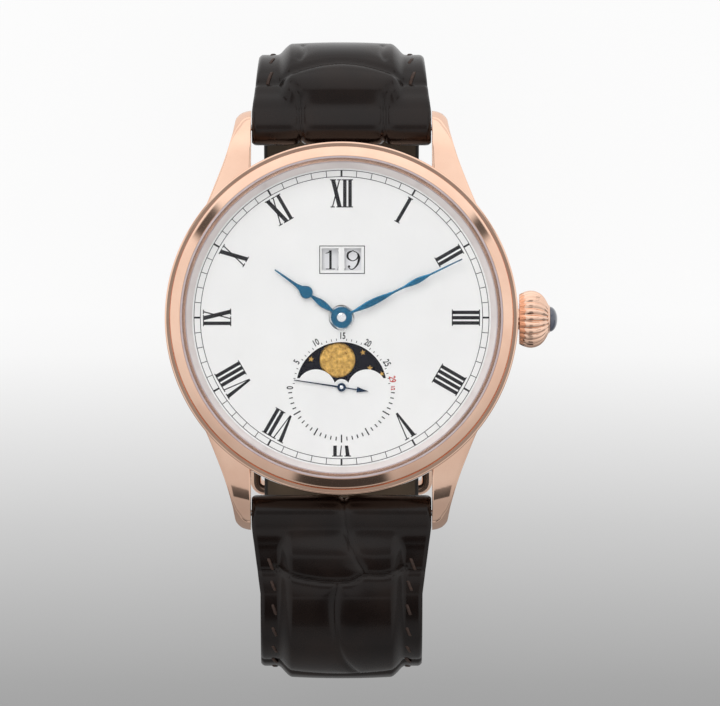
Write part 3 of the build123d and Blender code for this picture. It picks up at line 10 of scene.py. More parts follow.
import bpy
import numpy as np
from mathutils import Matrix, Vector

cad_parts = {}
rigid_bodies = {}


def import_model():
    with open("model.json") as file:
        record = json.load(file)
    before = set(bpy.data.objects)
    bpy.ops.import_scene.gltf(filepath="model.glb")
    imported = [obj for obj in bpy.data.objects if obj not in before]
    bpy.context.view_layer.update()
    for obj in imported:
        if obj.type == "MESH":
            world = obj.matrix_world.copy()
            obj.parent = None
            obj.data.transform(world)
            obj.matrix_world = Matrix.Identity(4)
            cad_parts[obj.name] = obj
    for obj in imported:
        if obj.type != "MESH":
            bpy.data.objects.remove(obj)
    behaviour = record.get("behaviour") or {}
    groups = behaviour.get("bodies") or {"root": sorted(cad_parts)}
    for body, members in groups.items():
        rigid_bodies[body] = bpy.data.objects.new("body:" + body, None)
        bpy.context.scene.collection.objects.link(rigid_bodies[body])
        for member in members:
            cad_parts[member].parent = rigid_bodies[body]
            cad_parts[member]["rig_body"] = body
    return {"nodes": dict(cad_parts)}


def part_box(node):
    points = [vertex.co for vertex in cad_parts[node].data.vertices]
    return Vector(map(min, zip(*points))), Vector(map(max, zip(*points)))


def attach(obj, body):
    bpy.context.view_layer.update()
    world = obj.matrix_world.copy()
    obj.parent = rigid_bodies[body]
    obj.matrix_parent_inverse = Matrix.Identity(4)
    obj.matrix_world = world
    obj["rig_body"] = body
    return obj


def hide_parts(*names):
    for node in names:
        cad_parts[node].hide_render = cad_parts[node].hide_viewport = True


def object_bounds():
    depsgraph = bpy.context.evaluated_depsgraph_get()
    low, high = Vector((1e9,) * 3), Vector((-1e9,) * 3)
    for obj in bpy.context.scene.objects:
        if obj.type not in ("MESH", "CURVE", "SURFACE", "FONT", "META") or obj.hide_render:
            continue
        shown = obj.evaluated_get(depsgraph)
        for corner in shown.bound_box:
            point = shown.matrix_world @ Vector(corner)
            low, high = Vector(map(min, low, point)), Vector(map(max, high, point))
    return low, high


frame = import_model()
CAD_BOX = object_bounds()

bl_info = {
    "name": "Moon phase watch",
    "version": (1, 0, 0),
    "blender": (4, 5, 0),
    "location": "View3D > Sidebar > Watch",
    "description": "Builds the visible pieces and finishes of a moon phase watch",
    "category": "Add Mesh",
}

MM = 0.001
TAU = 2 * math.pi


def low(node):
    """Lowest corner of a frame piece, in millimetres."""
    return np.array(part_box(node)[0]) / MM


def high(node):
    """Highest corner of a frame piece, in millimetres."""
    return np.array(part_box(node)[1]) / MM


# Places and sizes read from the frame
CASE_RADIUS = high("mid_case")[0]
BEZEL_RADIUS = high("bezel")[0]
BEZEL_TOP = high("bezel")[2]
BEZEL_BOTTOM = low("bezel")[2]
CRYSTAL_RADIUS = high("crystal")[0]
CRYSTAL_BOTTOM = low("crystal")[2]
CRYSTAL_TOP = high("crystal")[2]
DIAL_TOP = high("dial")[2]
MOON_TOP = high("moon_disc")[2]
SUBDIAL = (low("moon_disc")[:2] + high("moon_disc")[:2]) / 2
LUG_SPAN = high("mid_case")[1]


# Meshes

def strip_faces(rows, columns, close_rows=False, close_columns=False):
    """Quads of a grid of points kept row by row, joined round at the ends where asked."""
    i = np.arange(rows if close_rows else rows - 1)
    j = np.arange(columns if close_columns else columns - 1)
    i, j = np.meshgrid(i, j, indexing="ij")
    i_next = (i + 1) % rows
    j_next = (j + 1) % columns
    quads = np.stack(
        (i * columns + j, i_next * columns + j, i_next * columns + j_next, i * columns + j_next), -1
    )
    return quads.reshape(-1, 4)


def capped_faces(rows, columns):
    """Faces of a closed section carried along rows, with its first and last section filled in."""
    faces = strip_faces(rows, columns, False, True).tolist()
    faces.append(list(range(columns))[::-1])
    faces.append(list(range((rows - 1) * columns, rows * columns)))
    return faces


def faces_outward(points, faces):
    """The faces of a closed mesh, turned over where the volume they bound comes out negative."""
    points = np.asarray(points, float)
    points = points - points.mean(0)
    volume = 0.0
    by_count = {}
    for face in faces:
        by_count.setdefault(len(face), []).append(face)
    for count, group in by_count.items():
        corners = points[np.array(group)]
        for i in range(1, count - 1):
            cross = np.cross(corners[:, i], corners[:, i + 1])
            volume += np.sum(corners[:, 0] * cross)
    return faces if volume > 0 else [list(face)[::-1] for face in faces]


def make_piece(name, points, faces, material, body, shade_smooth=True, uv=None, replaces=()):
    """A finished piece from points in millimetres. It rides on a body and may stand for nodes."""
    mesh = bpy.data.meshes.new(name)
    faces = faces_outward(points, faces)
    mesh.from_pydata((np.asarray(points, float) * MM).tolist(), [], [list(face) for face in faces])
    if uv is not None:
        layer = mesh.uv_layers.new(name="along")
        corners = np.zeros(len(mesh.loops), np.int32)
        mesh.loops.foreach_get("vertex_index", corners)
        layer.data.foreach_set("uv", np.asarray(uv, float)[corners].ravel())
    mesh.polygons.foreach_set("use_smooth", np.full(len(mesh.polygons), shade_smooth))
    mesh.materials.append(material)
    mesh.update()
    piece = bpy.data.objects.new(name, mesh)
    bpy.context.scene.collection.objects.link(piece)
    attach(piece, body)
    if replaces:
        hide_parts(*replaces)
    return piece


def lathe_points(profile, segments, centre=(0.0, 0.0)):
    """Turn a profile of radius and height about an upright axis: one row of points per angle."""
    profile = np.asarray(profile, float)
    angle = np.linspace(0, TAU, segments, endpoint=False)[:, None]
    x = centre[0] + profile[None, :, 0] * np.cos(angle)
    y = centre[1] + profile[None, :, 0] * np.sin(angle)
    z = np.broadcast_to(profile[None, :, 1], x.shape)
    return np.stack((x, y, z), -1).reshape(-1, 3)


def lathe(name, profile, material, body, segments=192, centre=(0.0, 0.0), replaces=()):
    """A turned ring whose profile runs closed, anticlockwise with radius to the right."""
    points = lathe_points(profile, segments, centre)
    faces = strip_faces(segments, len(profile), True, True)
    return make_piece(name, points, faces, material, body, replaces=replaces)


def rounded_profile(corners, radii, count=5):
    """A closed profile through corners, each rounded by a tangent arc of its own radius."""
    corners = np.asarray(corners, float)
    points = []
    for index, corner in enumerate(corners):
        back = corners[index - 1] - corner
        ahead = corners[(index + 1) % len(corners)] - corner
        back_length = np.linalg.norm(back)
        ahead_length = np.linalg.norm(ahead)
        back = back / back_length
        ahead = ahead / ahead_length
        half = math.acos(np.clip(back @ ahead, -1, 1)) / 2
        radius = radii[index]
        if radius <= 0 or half > math.radians(89):
            points.append(corner)
            continue
        reach = min(radius / math.tan(half), 0.45 * back_length, 0.45 * ahead_length)
        radius = reach * math.tan(half)
        middle = corner + (back + ahead) / np.linalg.norm(back + ahead) * radius / math.sin(half)
        first = corner + back * reach - middle
        last = corner + ahead * reach - middle
        share = np.linspace(0, 1, count)[:, None]
        blend = first * (1 - share) + last * share
        blend = blend / np.linalg.norm(blend, axis=1)[:, None] * radius
        points.extend(middle + blend)
    return np.array(points)


def prism_parts(outlines, bottom, top):
    """Points and faces of upright prisms over a list of flat anticlockwise outlines."""
    points = []
    faces = []
    for outline in outlines:
        outline = np.asarray(outline, float)
        ahead = np.roll(outline, -1, 0)
        area = np.sum(outline[:, 0] * ahead[:, 1] - ahead[:, 0] * outline[:, 1])
        if area < 0:
            outline = outline[::-1]
        count = len(outline)
        start = len(points)
        points.extend([x, y, bottom] for x, y in outline)
        points.extend([x, y, top] for x, y in outline)
        faces.append([start + count + i for i in range(count)])
        faces.append([start + i for i in reversed(range(count))])
        for i in range(count):
            j = (i + 1) % count
            faces.append([start + i, start + j, start + count + j, start + count + i])
    return points, faces


def print_piece(name, outlines, material, body, bottom, height):
    """A thin raised print: prisms over flat outlines."""
    points, faces = prism_parts(outlines, bottom, bottom + height)
    return make_piece(name, points, faces, material, body, shade_smooth=False)


def ring_outlines(centre, inner, outer, count=180):
    """A flat ring as a run of small quads."""
    angle = np.linspace(0, TAU, count + 1)
    way = np.stack((np.cos(angle), np.sin(angle)), -1)
    return [
        [centre + inner * a, centre + outer * a, centre + outer * b, centre + inner * b]
        for a, b in zip(way[:-1], way[1:])
    ]


def clock_place(outline, clock_angle, radius, centre=(0.0, 0.0)):
    """Place a flat outline on a dial: its y axis points outwards at a clock angle in degrees."""
    outline = np.asarray(outline, float)
    turn = math.radians(clock_angle)
    out = np.array((math.sin(turn), math.cos(turn)))
    side = np.array((math.cos(turn), -math.sin(turn)))
    return np.asarray(centre) + outline[:, :1] * side + (outline[:, 1:] + radius) * out


# Materials

def new_material(name, metallic=0.0, coat=0.0, coat_roughness=0.05, ior=1.45, transmission=0.0):
    """A material with its shader in place, and the tree, links and shader to build on."""
    material = bpy.data.materials.new("finish_" + name)
    material.use_nodes = True
    tree = material.node_tree
    shader = tree.nodes["Principled BSDF"]
    feed(tree, shader, {
        "Metallic": metallic, "Coat Weight": coat, "Coat Roughness": coat_roughness, "IOR": ior,
        "Transmission Weight": transmission,
    })
    return material, tree, shader


def feed(tree, node, sockets):
    """Give a node's input sockets, by name or number, a value each or a link from a socket."""
    for key, value in sockets.items():
        if isinstance(value, bpy.types.NodeSocket):
            tree.links.new(value, node.inputs[key])
        else:
            node.inputs[key].default_value = value


def add_node(tree, kind, sockets=None, **settings):
    """Add a node with its settings and its input sockets' values or links."""
    node = tree.nodes.new(kind)
    for key, value in settings.items():
        setattr(node, key, value)
    feed(tree, node, sockets or {})
    return node


def math_node(tree, operation, first, second=None):
    """Add a maths step on sockets or numbers and return its result. Multiply-add adds a half."""
    sockets = {0: first, 2: 0.5}
    if second is not None:
        sockets[1] = second
    return add_node(tree, "ShaderNodeMath", sockets, operation=operation).outputs[0]


def object_place(tree):
    """The Object coordinates that every pattern is laid on."""
    return add_node(tree, "ShaderNodeTexCoord").outputs["Object"]


def add_bump(tree, shader, height, distance, strength):
    """Tilt a shader's surface by a height pattern."""
    sockets = {"Distance": distance, "Strength": strength, "Height": height}
    bump = add_node(tree, "ShaderNodeBump", sockets)
    feed(tree, shader, {"Normal": bump.outputs[0]})


def mix_shaders(tree, share, first, second):
    """The first shader where the share is zero and the second where it is one."""
    return add_node(tree, "ShaderNodeMixShader", {0: share, 1: first, 2: second}).outputs[0]


def smooth_step(tree, value, start, end, low_result=0.0, high_result=1.0):
    """A smooth change from one result to another between two values."""
    sockets = {"Value": value, "From Min": start, "From Max": end}
    sockets.update({"To Min": low_result, "To Max": high_result})
    return add_node(tree, "ShaderNodeMapRange", sockets, interpolation_type="SMOOTHSTEP").outputs[0]


def seen_ray(tree, *kinds):
    """One where the ray is of any of the named kinds, for what only such rays see."""
    path = add_node(tree, "ShaderNodeLightPath")
    total = path.outputs[kinds[0]]
    for kind in kinds[1:]:
        total = math_node(tree, "MAXIMUM", total, path.outputs[kind])
    return total


def group_tree(name, inputs, outputs):
    """A shader node group with named inputs (name, type, default) and outputs (name, type)."""
    tree = bpy.data.node_groups.new(name, "ShaderNodeTree")
    for label, kind, value in inputs:
        socket = tree.interface.new_socket(name=label, in_out="INPUT", socket_type=kind)
        socket.default_value = value
    for label, kind in outputs:
        tree.interface.new_socket(name=label, in_out="OUTPUT", socket_type=kind)
    return tree, tree.nodes.new("NodeGroupInput"), tree.nodes.new("NodeGroupOutput")


def wear_group():
    """Fine handling marks: a roughness with smudges, a tint factor and a faint uneven normal."""
    number = "NodeSocketFloat"
    tree, given, result = group_tree(
        "fine wear",
        (
            ("Roughness", number, 0.1), ("Spread", number, 0.05), ("Scale", number, 400.0),
            ("Bump", number, 0.02),
        ),
        (("Roughness", number), ("Mask", number), ("Normal", "NodeSocketVector")),
    )
    given = given.outputs
    place = object_place(tree)
    sockets = {"Vector": place, "Scale": given["Scale"], "Detail": 5.0}
    noise = add_node(tree, "ShaderNodeTexNoise", sockets).outputs[0]
    spread = math_node(tree, "MULTIPLY", math_node(tree, "SUBTRACT", noise, 0.5), given["Spread"])
    total = math_node(tree, "ADD", given["Roughness"], spread)
    sockets = {"Vector": place, "Scale": math_node(tree, "MULTIPLY", given["Scale"], 6.0), "Detail": 3.0}
    grain = add_node(tree, "ShaderNodeTexNoise", sockets).outputs[0]
    feed(tree, result, {"Roughness": math_node(tree, "MAXIMUM", total, 0.01), "Mask": noise})
    add_bump(tree, result, grain, 0.00002, given["Bump"])


def two_tone(tree, shader, mask, dark, light):
    """Colour a shader between two tones by a mask."""
    ramp = add_node(tree, "ShaderNodeValToRGB", {0: mask})
    for element, position, tone in zip(ramp.color_ramp.elements, (0.3, 0.7), (dark, light)):
        element.position = position
        element.color = (*tone, 1)
    feed(tree, shader, {"Base Color": ramp.outputs[0]})
    return ramp


def worn_material(name, dark, light, roughness, spread, scale, bump, **values):
    """A material of two close tones with fine wear, its tree, its shader and its colour ramp."""
    material, tree, shader = new_material(name, **values)
    sockets = {"Roughness": roughness, "Spread": spread, "Scale": scale, "Bump": bump}
    wear = add_node(tree, "ShaderNodeGroup", node_tree=bpy.data.node_groups["fine wear"])
    feed(tree, wear, sockets)
    feed(tree, shader, {key: wear.outputs[key] for key in ("Roughness", "Normal")})
    return material, tree, shader, two_tone(tree, shader, wear.outputs["Mask"], dark, light)


def brushed_metal(name, dark, light, roughness, direction):
    """A metal with fine straight brushing along one axis, for wheels, screws and the holder."""
    material, tree, shader, _ = worn_material(
        name, dark, light, roughness, 0.08, 500.0, 0.05, metallic=1.0
    )
    stretch = add_node(tree, "ShaderNodeMapping", {"Vector": object_place(tree), "Scale": direction})
    sockets = {"Vector": stretch.outputs[0], "Scale": 9000.0, "Detail": 2.0}
    lines = add_node(tree, "ShaderNodeTexNoise", sockets)
    add_bump(tree, shader, lines.outputs[0], 0.00001, 0.3)
    return material


def striped_metal(name, dark, light, roughness, width):
    """Plated bridges with waved stripes: each stripe's hump tilts the light its own way."""
    material, tree, shader, _ = worn_material(
        name, dark, light, roughness, 0.05, 300.0, 0.03, metallic=1.0
    )
    parts = add_node(tree, "ShaderNodeSeparateXYZ", {0: object_place(tree)}).outputs
    across = math_node(tree, "ADD", parts[0], parts[1])
    stripe = math_node(tree, "FRACT", math_node(tree, "MULTIPLY", across, 1 / (width * MM)))
    hump = math_node(tree, "MULTIPLY", stripe, math_node(tree, "SUBTRACT", 1.0, stripe))
    add_bump(tree, shader, hump, 0.0003, 0.35)
    return material


def leather_finish(name, tones, roughness, pore_scale, pore_depth, coat, edge=None):
    """Grained leather: a fine pore pattern with colour pooling, under a thin polish.

    The tones run from dark to light. Past an edge, a distance from the middle in metres, the
    leather is painted black, as the cut edge of a strap is.
    """
    dark, mid, light = tones
    material, tree, shader, ramp = worn_material(
        name, dark, light, roughness, 0.12, 180.0, 0.1, coat=coat, coat_roughness=0.12, ior=1.33
    )
    ramp.color_ramp.elements.new(0.5).color = (*mid, 1)
    place = object_place(tree)
    sockets = {"Vector": place, "Scale": pore_scale}
    pores = add_node(tree, "ShaderNodeTexVoronoi", sockets, feature="DISTANCE_TO_EDGE")
    depth = math_node(tree, "MINIMUM", pores.outputs["Distance"], 0.12)
    add_bump(tree, shader, depth, pore_depth, 0.35)
    if edge:
        parts = add_node(tree, "ShaderNodeSeparateXYZ", {0: place})
        across = math_node(tree, "ABSOLUTE", parts.outputs[0])
        border = smooth_step(tree, across, edge - EDGE_BLUR, edge + EDGE_BLUR)
        mix = add_node(tree, "ShaderNodeMix", data_type="RGBA")
        feed(tree, mix, {"Factor": border, 6: ramp.outputs[0], 7: (*EDGE_PAINT, 1)})
        feed(tree, shader, {"Base Color": mix.outputs[2]})
    return material


def grained_gold(name):
    """Raised gold of the moon and stars: a coarse hammered grain with darker pits."""
    material, tree, shader, _ = worn_material(
        name, (0.36, 0.19, 0.05), (0.82, 0.52, 0.15), 0.3, 0.15, 2600.0, 0.2, metallic=1.0
    )
    sockets = {"Vector": object_place(tree), "Scale": 8200.0}
    cells = add_node(tree, "ShaderNodeTexVoronoi", sockets)
    add_bump(tree, shader, cells.outputs["Distance"], 0.00006, 0.6)
    return material


def clear_glass(name):
    """Coated sapphire crystal, which lets the lamp's light through to the dial."""
    material, tree, shader, _ = worn_material(
        name, (0.995, 0.995, 1.0), (1.0, 1.0, 1.0), 0.0, 0.004, 200.0, 0.0, ior=1.25, transmission=1.0
    )
    clear = add_node(tree, "ShaderNodeBsdfTransparent", {"Color": (0.8, 0.8, 0.8, 1)})
    surface = mix_shaders(tree, seen_ray(tree, "Is Shadow Ray"), shader.outputs[0], clear.outputs[0])
    tree.links.new(surface, tree.nodes["Material Output"].inputs[0])
    return material


# Past the stitches a lining's cut edge is painted, over this far in metres.
EDGE_PAINT = (0.012, 0.009, 0.007)
EDGE_BLUR = 0.00008
LINING_EDGE = 0.0086

# Dark and light tone, roughness, its spread, scale of the wear and strength of its bump
PLAIN_FINISHES = {
    "gasket": ((0.58, 0.48, 0.50), (0.66, 0.56, 0.57), 0.4, 0.1, 800.0, 0.1),
    "polished": ((0.72, 0.72, 0.74), (0.80, 0.80, 0.82), 0.08, 0.04, 900.0, 0.02),
    "rehaut": ((0.90, 0.82, 0.80), (0.95, 0.88, 0.86), 0.3, 0.06, 500.0, 0.03),
    "dial": ((0.93, 0.93, 0.92), (0.96, 0.96, 0.95), 0.45, 0.08, 250.0, 0.05),
    "disc": ((0.80, 0.80, 0.82), (0.85, 0.85, 0.87), 0.5, 0.08, 500.0, 0.05),
    "ink": ((0.012, 0.012, 0.014), (0.03, 0.03, 0.034), 0.35, 0.08, 900.0, 0.1),
    "red_ink": ((0.45, 0.02, 0.02), (0.60, 0.05, 0.04), 0.4, 0.08, 900.0, 0.1),
    "night": ((0.006, 0.006, 0.012), (0.012, 0.012, 0.022), 0.25, 0.05, 700.0, 0.05),
    "blued_dark": ((0.003, 0.016, 0.045), (0.008, 0.035, 0.085), 0.2, 0.06, 700.0, 0.03),
    "ruby": ((0.32, 0.01, 0.06), (0.52, 0.02, 0.10), 0.06, 0.03, 900.0, 0.02),
    "stone": ((0.035, 0.045, 0.08), (0.07, 0.085, 0.13), 0.05, 0.03, 300.0, 0.02),
    "thread": ((0.030, 0.016, 0.012), (0.06, 0.032, 0.022), 0.6, 0.1, 3000.0, 0.5),
}
# Other values of their shaders, where they differ from the usual ones
SHADER_VALUES = {
    "polished": {"metallic": 1.0},
    "rehaut": {"metallic": 0.3},
    "dial": {"ior": 1.5},
    "ink": {"ior": 1.2},
    "night": {"ior": 1.15},
    "blued_dark": {"metallic": 0.8},
    "ruby": {"coat": 0.5, "ior": 1.76},
    "stone": {"coat": 0.7, "ior": 1.76},
}
# Dark and light tone, roughness and the axis that the brushing runs along, by its small scale
BRUSHED_FINISHES = {
    "steel": ((0.55, 0.55, 0.56), (0.66, 0.66, 0.67), 0.25, (1.0, 0.05, 1.0)),
    "holder": ((0.45, 0.45, 0.46), (0.58, 0.58, 0.59), 0.35, (1.0, 1.0, 0.05)),
    "brass": ((0.74, 0.52, 0.22), (0.86, 0.64, 0.32), 0.2, (1.0, 1.0, 0.05)),
}
LINING_TONES = ((0.045, 0.030, 0.018), (0.060, 0.041, 0.026), (0.085, 0.058, 0.036))
STRIPE_WIDTH = 1.6

# How much of the chosen colour the darker tones keep, channel by channel
GOLD_DARK_SHARES = (0.925, 0.875, 0.857)
BLUE_DARK_SHARES = (0.4, 0.567, 0.607)
LEATHER_MID_SHARES = (0.615, 0.585, 0.6)
LEATHER_DARK_SHARES = (0.385, 0.338, 0.356)

FINISHES = {}


def darker(colour, shares):
    """A colour with each channel cut to its share."""
    return tuple(channel * share for channel, share in zip(colour, shares))


def make_materials(settings):
    """Make every finish and keep it by name."""
    wear_group()
    for name, values in PLAIN_FINISHES.items():
        FINISHES[name] = worn_material(name, *values, **SHADER_VALUES.get(name, {}))[0]
    for name, values in BRUSHED_FINISHES.items():
        FINISHES[name] = brushed_metal(name, *values)
    gold, blue, leather = settings.gold, settings.blue, settings.leather
    leather_tones = (
        darker(leather, LEATHER_DARK_SHARES), darker(leather, LEATHER_MID_SHARES), tuple(leather),
    )
    FINISHES.update({
        "rose_gold": worn_material(
            "rose_gold", darker(gold, GOLD_DARK_SHARES), tuple(gold), 0.09, 0.05, 260.0, 0.02,
            metallic=1.0,
        )[0],
        "blued": worn_material(
            "blued", darker(blue, BLUE_DARK_SHARES), tuple(blue), 0.16, 0.06, 700.0, 0.03,
            metallic=0.9, coat=0.3,
        )[0],
        "crystal": clear_glass("crystal"),
        "moon_gold": grained_gold("moon_gold"),
        "plate": striped_metal("plate", (0.66, 0.66, 0.67), (0.76, 0.76, 0.77), 0.2, STRIPE_WIDTH),
        "leather": leather_finish("leather", leather_tones, 0.27, 1500.0, 0.00004, 0.12),
        "lining": leather_finish("lining", LINING_TONES, 0.6, 2600.0, 0.00003, 0.03, LINING_EDGE),
    })


NODES_OF_FINISH = {
    "rose_gold": (
        "bezel", "mid_case", "case_back", "crown", "crown_tube",
        "buckle_frame", "buckle_bar", "buckle_tongue",
    ),
    "crystal": ("crystal", "back_crystal"),
    "gasket": ("crystal_gasket", "back_crystal_gasket"),
    "holder": ("movement_ring",),
    "rehaut": ("rehaut_ring",),
    "dial": ("dial",),
    "night": ("moon_disc",),
    "disc": ("date_units_disc", "date_tens_disc"),
    "blued": ("hour_hand", "minute_hand", "seconds_hand", "hairspring"),
    "polished": ("click",),
    "ruby": ("jewels",),
    "stone": ("crown_cabochon",),
    "plate": (
        "main_plate", "calendar_plate", "barrel_bridge", "train_bridge", "balance_cock",
        "pallet_bridge", "rotor",
    ),
    "brass": (
        "centre_wheel", "third_wheel", "fourth_wheel", "minute_wheel", "hour_wheel", "balance_wheel",
        "barrel",
    ),
    "leather": ("strap_12_leather", "strap_6_leather", "fixed_keeper", "free_keeper"),
    "lining": ("strap_12_lining", "strap_6_lining"),
}
FINISH_OF_NODE = {node: finish for finish, nodes in NODES_OF_FINISH.items() for node in nodes}


def finish_frame(finishes):
    """Give every piece carried over from the frame its own finish."""
    for node, piece in frame["nodes"].items():
        piece.data.materials.clear()
        piece.data.materials.append(finishes[FINISH_OF_NODE.get(node, "steel")])


# Case, bezel and crystal

BEZEL_FALL, BEZEL_ROUND = 0.36, 0.15


def bezel_profile():
    """The convex band over a short upright edge, with the lip that carries the crystal.

    The band falls by its width times the fall and the round, the second by the square of the
    share of the width passed.
    """
    inner = CRYSTAL_RADIUS + 0.15
    band = BEZEL_RADIUS - 0.05 - inner
    crown = []
    for share in np.linspace(0.0, 1.0, 12):
        fall = band * (BEZEL_FALL * share + BEZEL_ROUND * share**2)
        crown.append((inner + 0.05 + (band - 0.05) * share, BEZEL_TOP - fall))
    edge = crown[-1][1]
    return np.array(
        [
            (inner, BEZEL_TOP - 0.06),
            (inner, CRYSTAL_BOTTOM + 0.005),
            (CRYSTAL_RADIUS - 0.45, CRYSTAL_BOTTOM + 0.005),
            (CRYSTAL_RADIUS - 0.45, BEZEL_BOTTOM),
            (BEZEL_RADIUS - 0.1, BEZEL_BOTTOM),
            (BEZEL_RADIUS, BEZEL_BOTTOM + 0.1),
            (BEZEL_RADIUS, edge - 0.1),
            (BEZEL_RADIUS - 0.015, edge - 0.04),
        ]
        + crown[::-1]
    )


def case_profile():
    """The case middle's wall: an upright flank that turns in to a narrower foot."""
    bottom = low("case_back")[2] + 1.0
    bore = CRYSTAL_RADIUS - 0.5
    foot = CASE_RADIUS - 0.9
    corners = [
        (foot, bottom),
        (CASE_RADIUS, 3.6),
        (CASE_RADIUS, BEZEL_BOTTOM),
        (BEZEL_RADIUS + 0.1, BEZEL_BOTTOM),
        (BEZEL_RADIUS - 0.06, BEZEL_BOTTOM - 0.16),
        (BEZEL_RADIUS - 0.12, BEZEL_BOTTOM),
        (bore, BEZEL_BOTTOM),
        (bore, bottom),
    ]
    return rounded_profile(corners, [0.25, 1.6, 0.2, 0.03, 0.0, 0.03, 0.0, 0.0], 7)


# A lug's outline in plan from the case to its tip, and the inner side that its sections fan from
LUG_INNER = 10.06
LUG_FAN_SHARES, LUG_FAN_PLACES = (0.0, 0.72, 1.0), (11.4, 19.6, 22.3)
# Width of the bevel by the place along Y
LUG_BEVEL_PLACES, LUG_BEVELS = (20.0, 21.2, 22.2, 23.3), (0.06, 0.3, 0.75, 0.9)
LUG_OUTLINE = (
    (15.5, 11.4), (14.55, 13.5), (13.0, 17.5), (12.15, 20.35),
    (11.9, 21.5), (11.7, 22.35), (11.2, 22.92), (10.65, 23.17),
)
# The top face: its height, where it starts to fall and how steeply, and the bend to the steep part
LUG_TOP, LUG_FALL_START, LUG_FALL, LUG_CURVE = 7.65, 13.0, 0.19, 0.006
LUG_BEND, LUG_BEND_LENGTH, LUG_STEEP = 18.7, 2.4, 0.62
# Height of the underside by the place along Y
LUG_UNDER_PLACES = (11.5, 14.0, 18.0, 20.0, 21.0, 22.3, LUG_SPAN)
LUG_UNDER_HEIGHTS = (3.3, 2.3, 1.4, 0.75, 0.32, 0.32, 1.1)


def lug_height(x, y):
    """Height of a lug's top face: a gentle fall from the bezel, a bend and a steeper fall.

    The steep part's slope grows through the bend as the smooth step of the share passed.
    """
    bent = y + 0.25 * (x - 10.0)
    fallen = np.maximum(bent - LUG_FALL_START, 0)
    gentle = LUG_TOP - LUG_FALL * fallen - LUG_CURVE * fallen**2
    share = np.clip((bent - LUG_BEND) / LUG_BEND_LENGTH, 0, 1)
    past = np.maximum(bent - LUG_BEND - LUG_BEND_LENGTH, 0)
    return gentle - LUG_STEEP * ((share**3 - 0.5 * share**4) * LUG_BEND_LENGTH + past)


def lug_rows():
    """One lug as closed sections that fan from its inner side out to its outline, up to the tip.

    The top of each section follows the top face's height over the plan, with a bevel along the
    outline, as wide as the tip's end face there and narrowing to nothing along the flank. The
    section closes down the outer wall, along the underside and up the flat inner wall.
    """
    outline = curve([*LUG_OUTLINE, (LUG_INNER, LUG_SPAN - 0.01)], 7)
    rows = len(outline)
    reach = np.concatenate(([0.0], np.cumsum(np.linalg.norm(np.diff(outline, axis=0), axis=1))))
    inner_y = np.interp(reach / reach[-1], LUG_FAN_SHARES, LUG_FAN_PLACES)
    points = []
    for index in range(rows):
        outer = outline[index]
        inner = np.array((LUG_INNER, inner_y[index]))
        length = np.linalg.norm(inner - outer)
        bevel = np.interp(outer[1], LUG_BEVEL_PLACES, LUG_BEVELS)
        inside = np.linspace(bevel + 0.15, length, 9)
        places = np.concatenate((np.linspace(0, bevel, 5), [bevel + 0.03, bevel + 0.06], inside))
        plan = outer + (inner - outer) * (places / length)[:, None]
        height = lug_height(plan[:, 0], plan[:, 1])
        groove = np.exp(-(((places - bevel - 0.03) / 0.03) ** 2))
        height -= 0.75 * np.maximum(bevel - places, 0) + 0.05 * groove
        height[0] -= 0.05
        under = np.interp((outer[1], inner[1]), LUG_UNDER_PLACES, LUG_UNDER_HEIGHTS)
        walls = [(*inner, under[1] + 0.1), (*(inner + (outer - inner) * 0.04), under[1])]
        walls += [(*(outer + (inner - outer) * 0.06), under[0]), (*outer, under[0] + 0.15)]
        section = [(x, y, z) for (x, y), z in zip(plan, height)] + walls
        points.extend(section)
    return np.array(points), rows, len(section)


def build_case(finishes):
    """The case middle with its four lugs, in place of the frame's plain one."""
    profile = case_profile()
    points = [lathe_points(profile, 240)]
    faces = [strip_faces(240, len(profile), True, True)]
    offset = len(points[0])
    lug, rows, columns = lug_rows()
    for x_side in (-1, 1):
        for y_side in (-1, 1):
            placed = lug * (x_side, y_side, 1)
            lug_faces = capped_faces(rows, columns)
            if x_side * y_side < 0:
                lug_faces = [face[::-1] for face in lug_faces]
            faces.append([[index + offset for index in face] for face in lug_faces])
            points.append(placed)
            offset += len(placed)
    faces = [list(face) for block in faces for face in block]
    points = np.concatenate(points)
    make_piece("case_middle", points, faces, finishes["rose_gold"], "case", replaces=["mid_case"])


def build_bezel(finishes):
    """The polished bezel, in place of the frame's faceted one."""
    lathe("bezel_band", bezel_profile(), finishes["rose_gold"], "case", 256, replaces=["bezel"])


def crystal_profile():
    """The crystal: flat under, a short upright edge, a polished bevel and a low dome."""
    bevel = CRYSTAL_RADIUS - 0.55
    start = CRYSTAL_BOTTOM + 1.175
    rise = CRYSTAL_TOP - start
    dome = [(bevel * share, start + rise * (1 - share * share)) for share in np.linspace(1, 0, 40)]
    return [(0.0, CRYSTAL_BOTTOM + 0.15), (CRYSTAL_RADIUS - 0.6, CRYSTAL_BOTTOM + 0.01)] + [
        (CRYSTAL_RADIUS, CRYSTAL_BOTTOM + 0.01),
        (CRYSTAL_RADIUS, CRYSTAL_BOTTOM + 0.9),
        (CRYSTAL_RADIUS - 0.02, CRYSTAL_BOTTOM + 0.93),
        (bevel + 0.03, start - 0.01),
    ] + dome


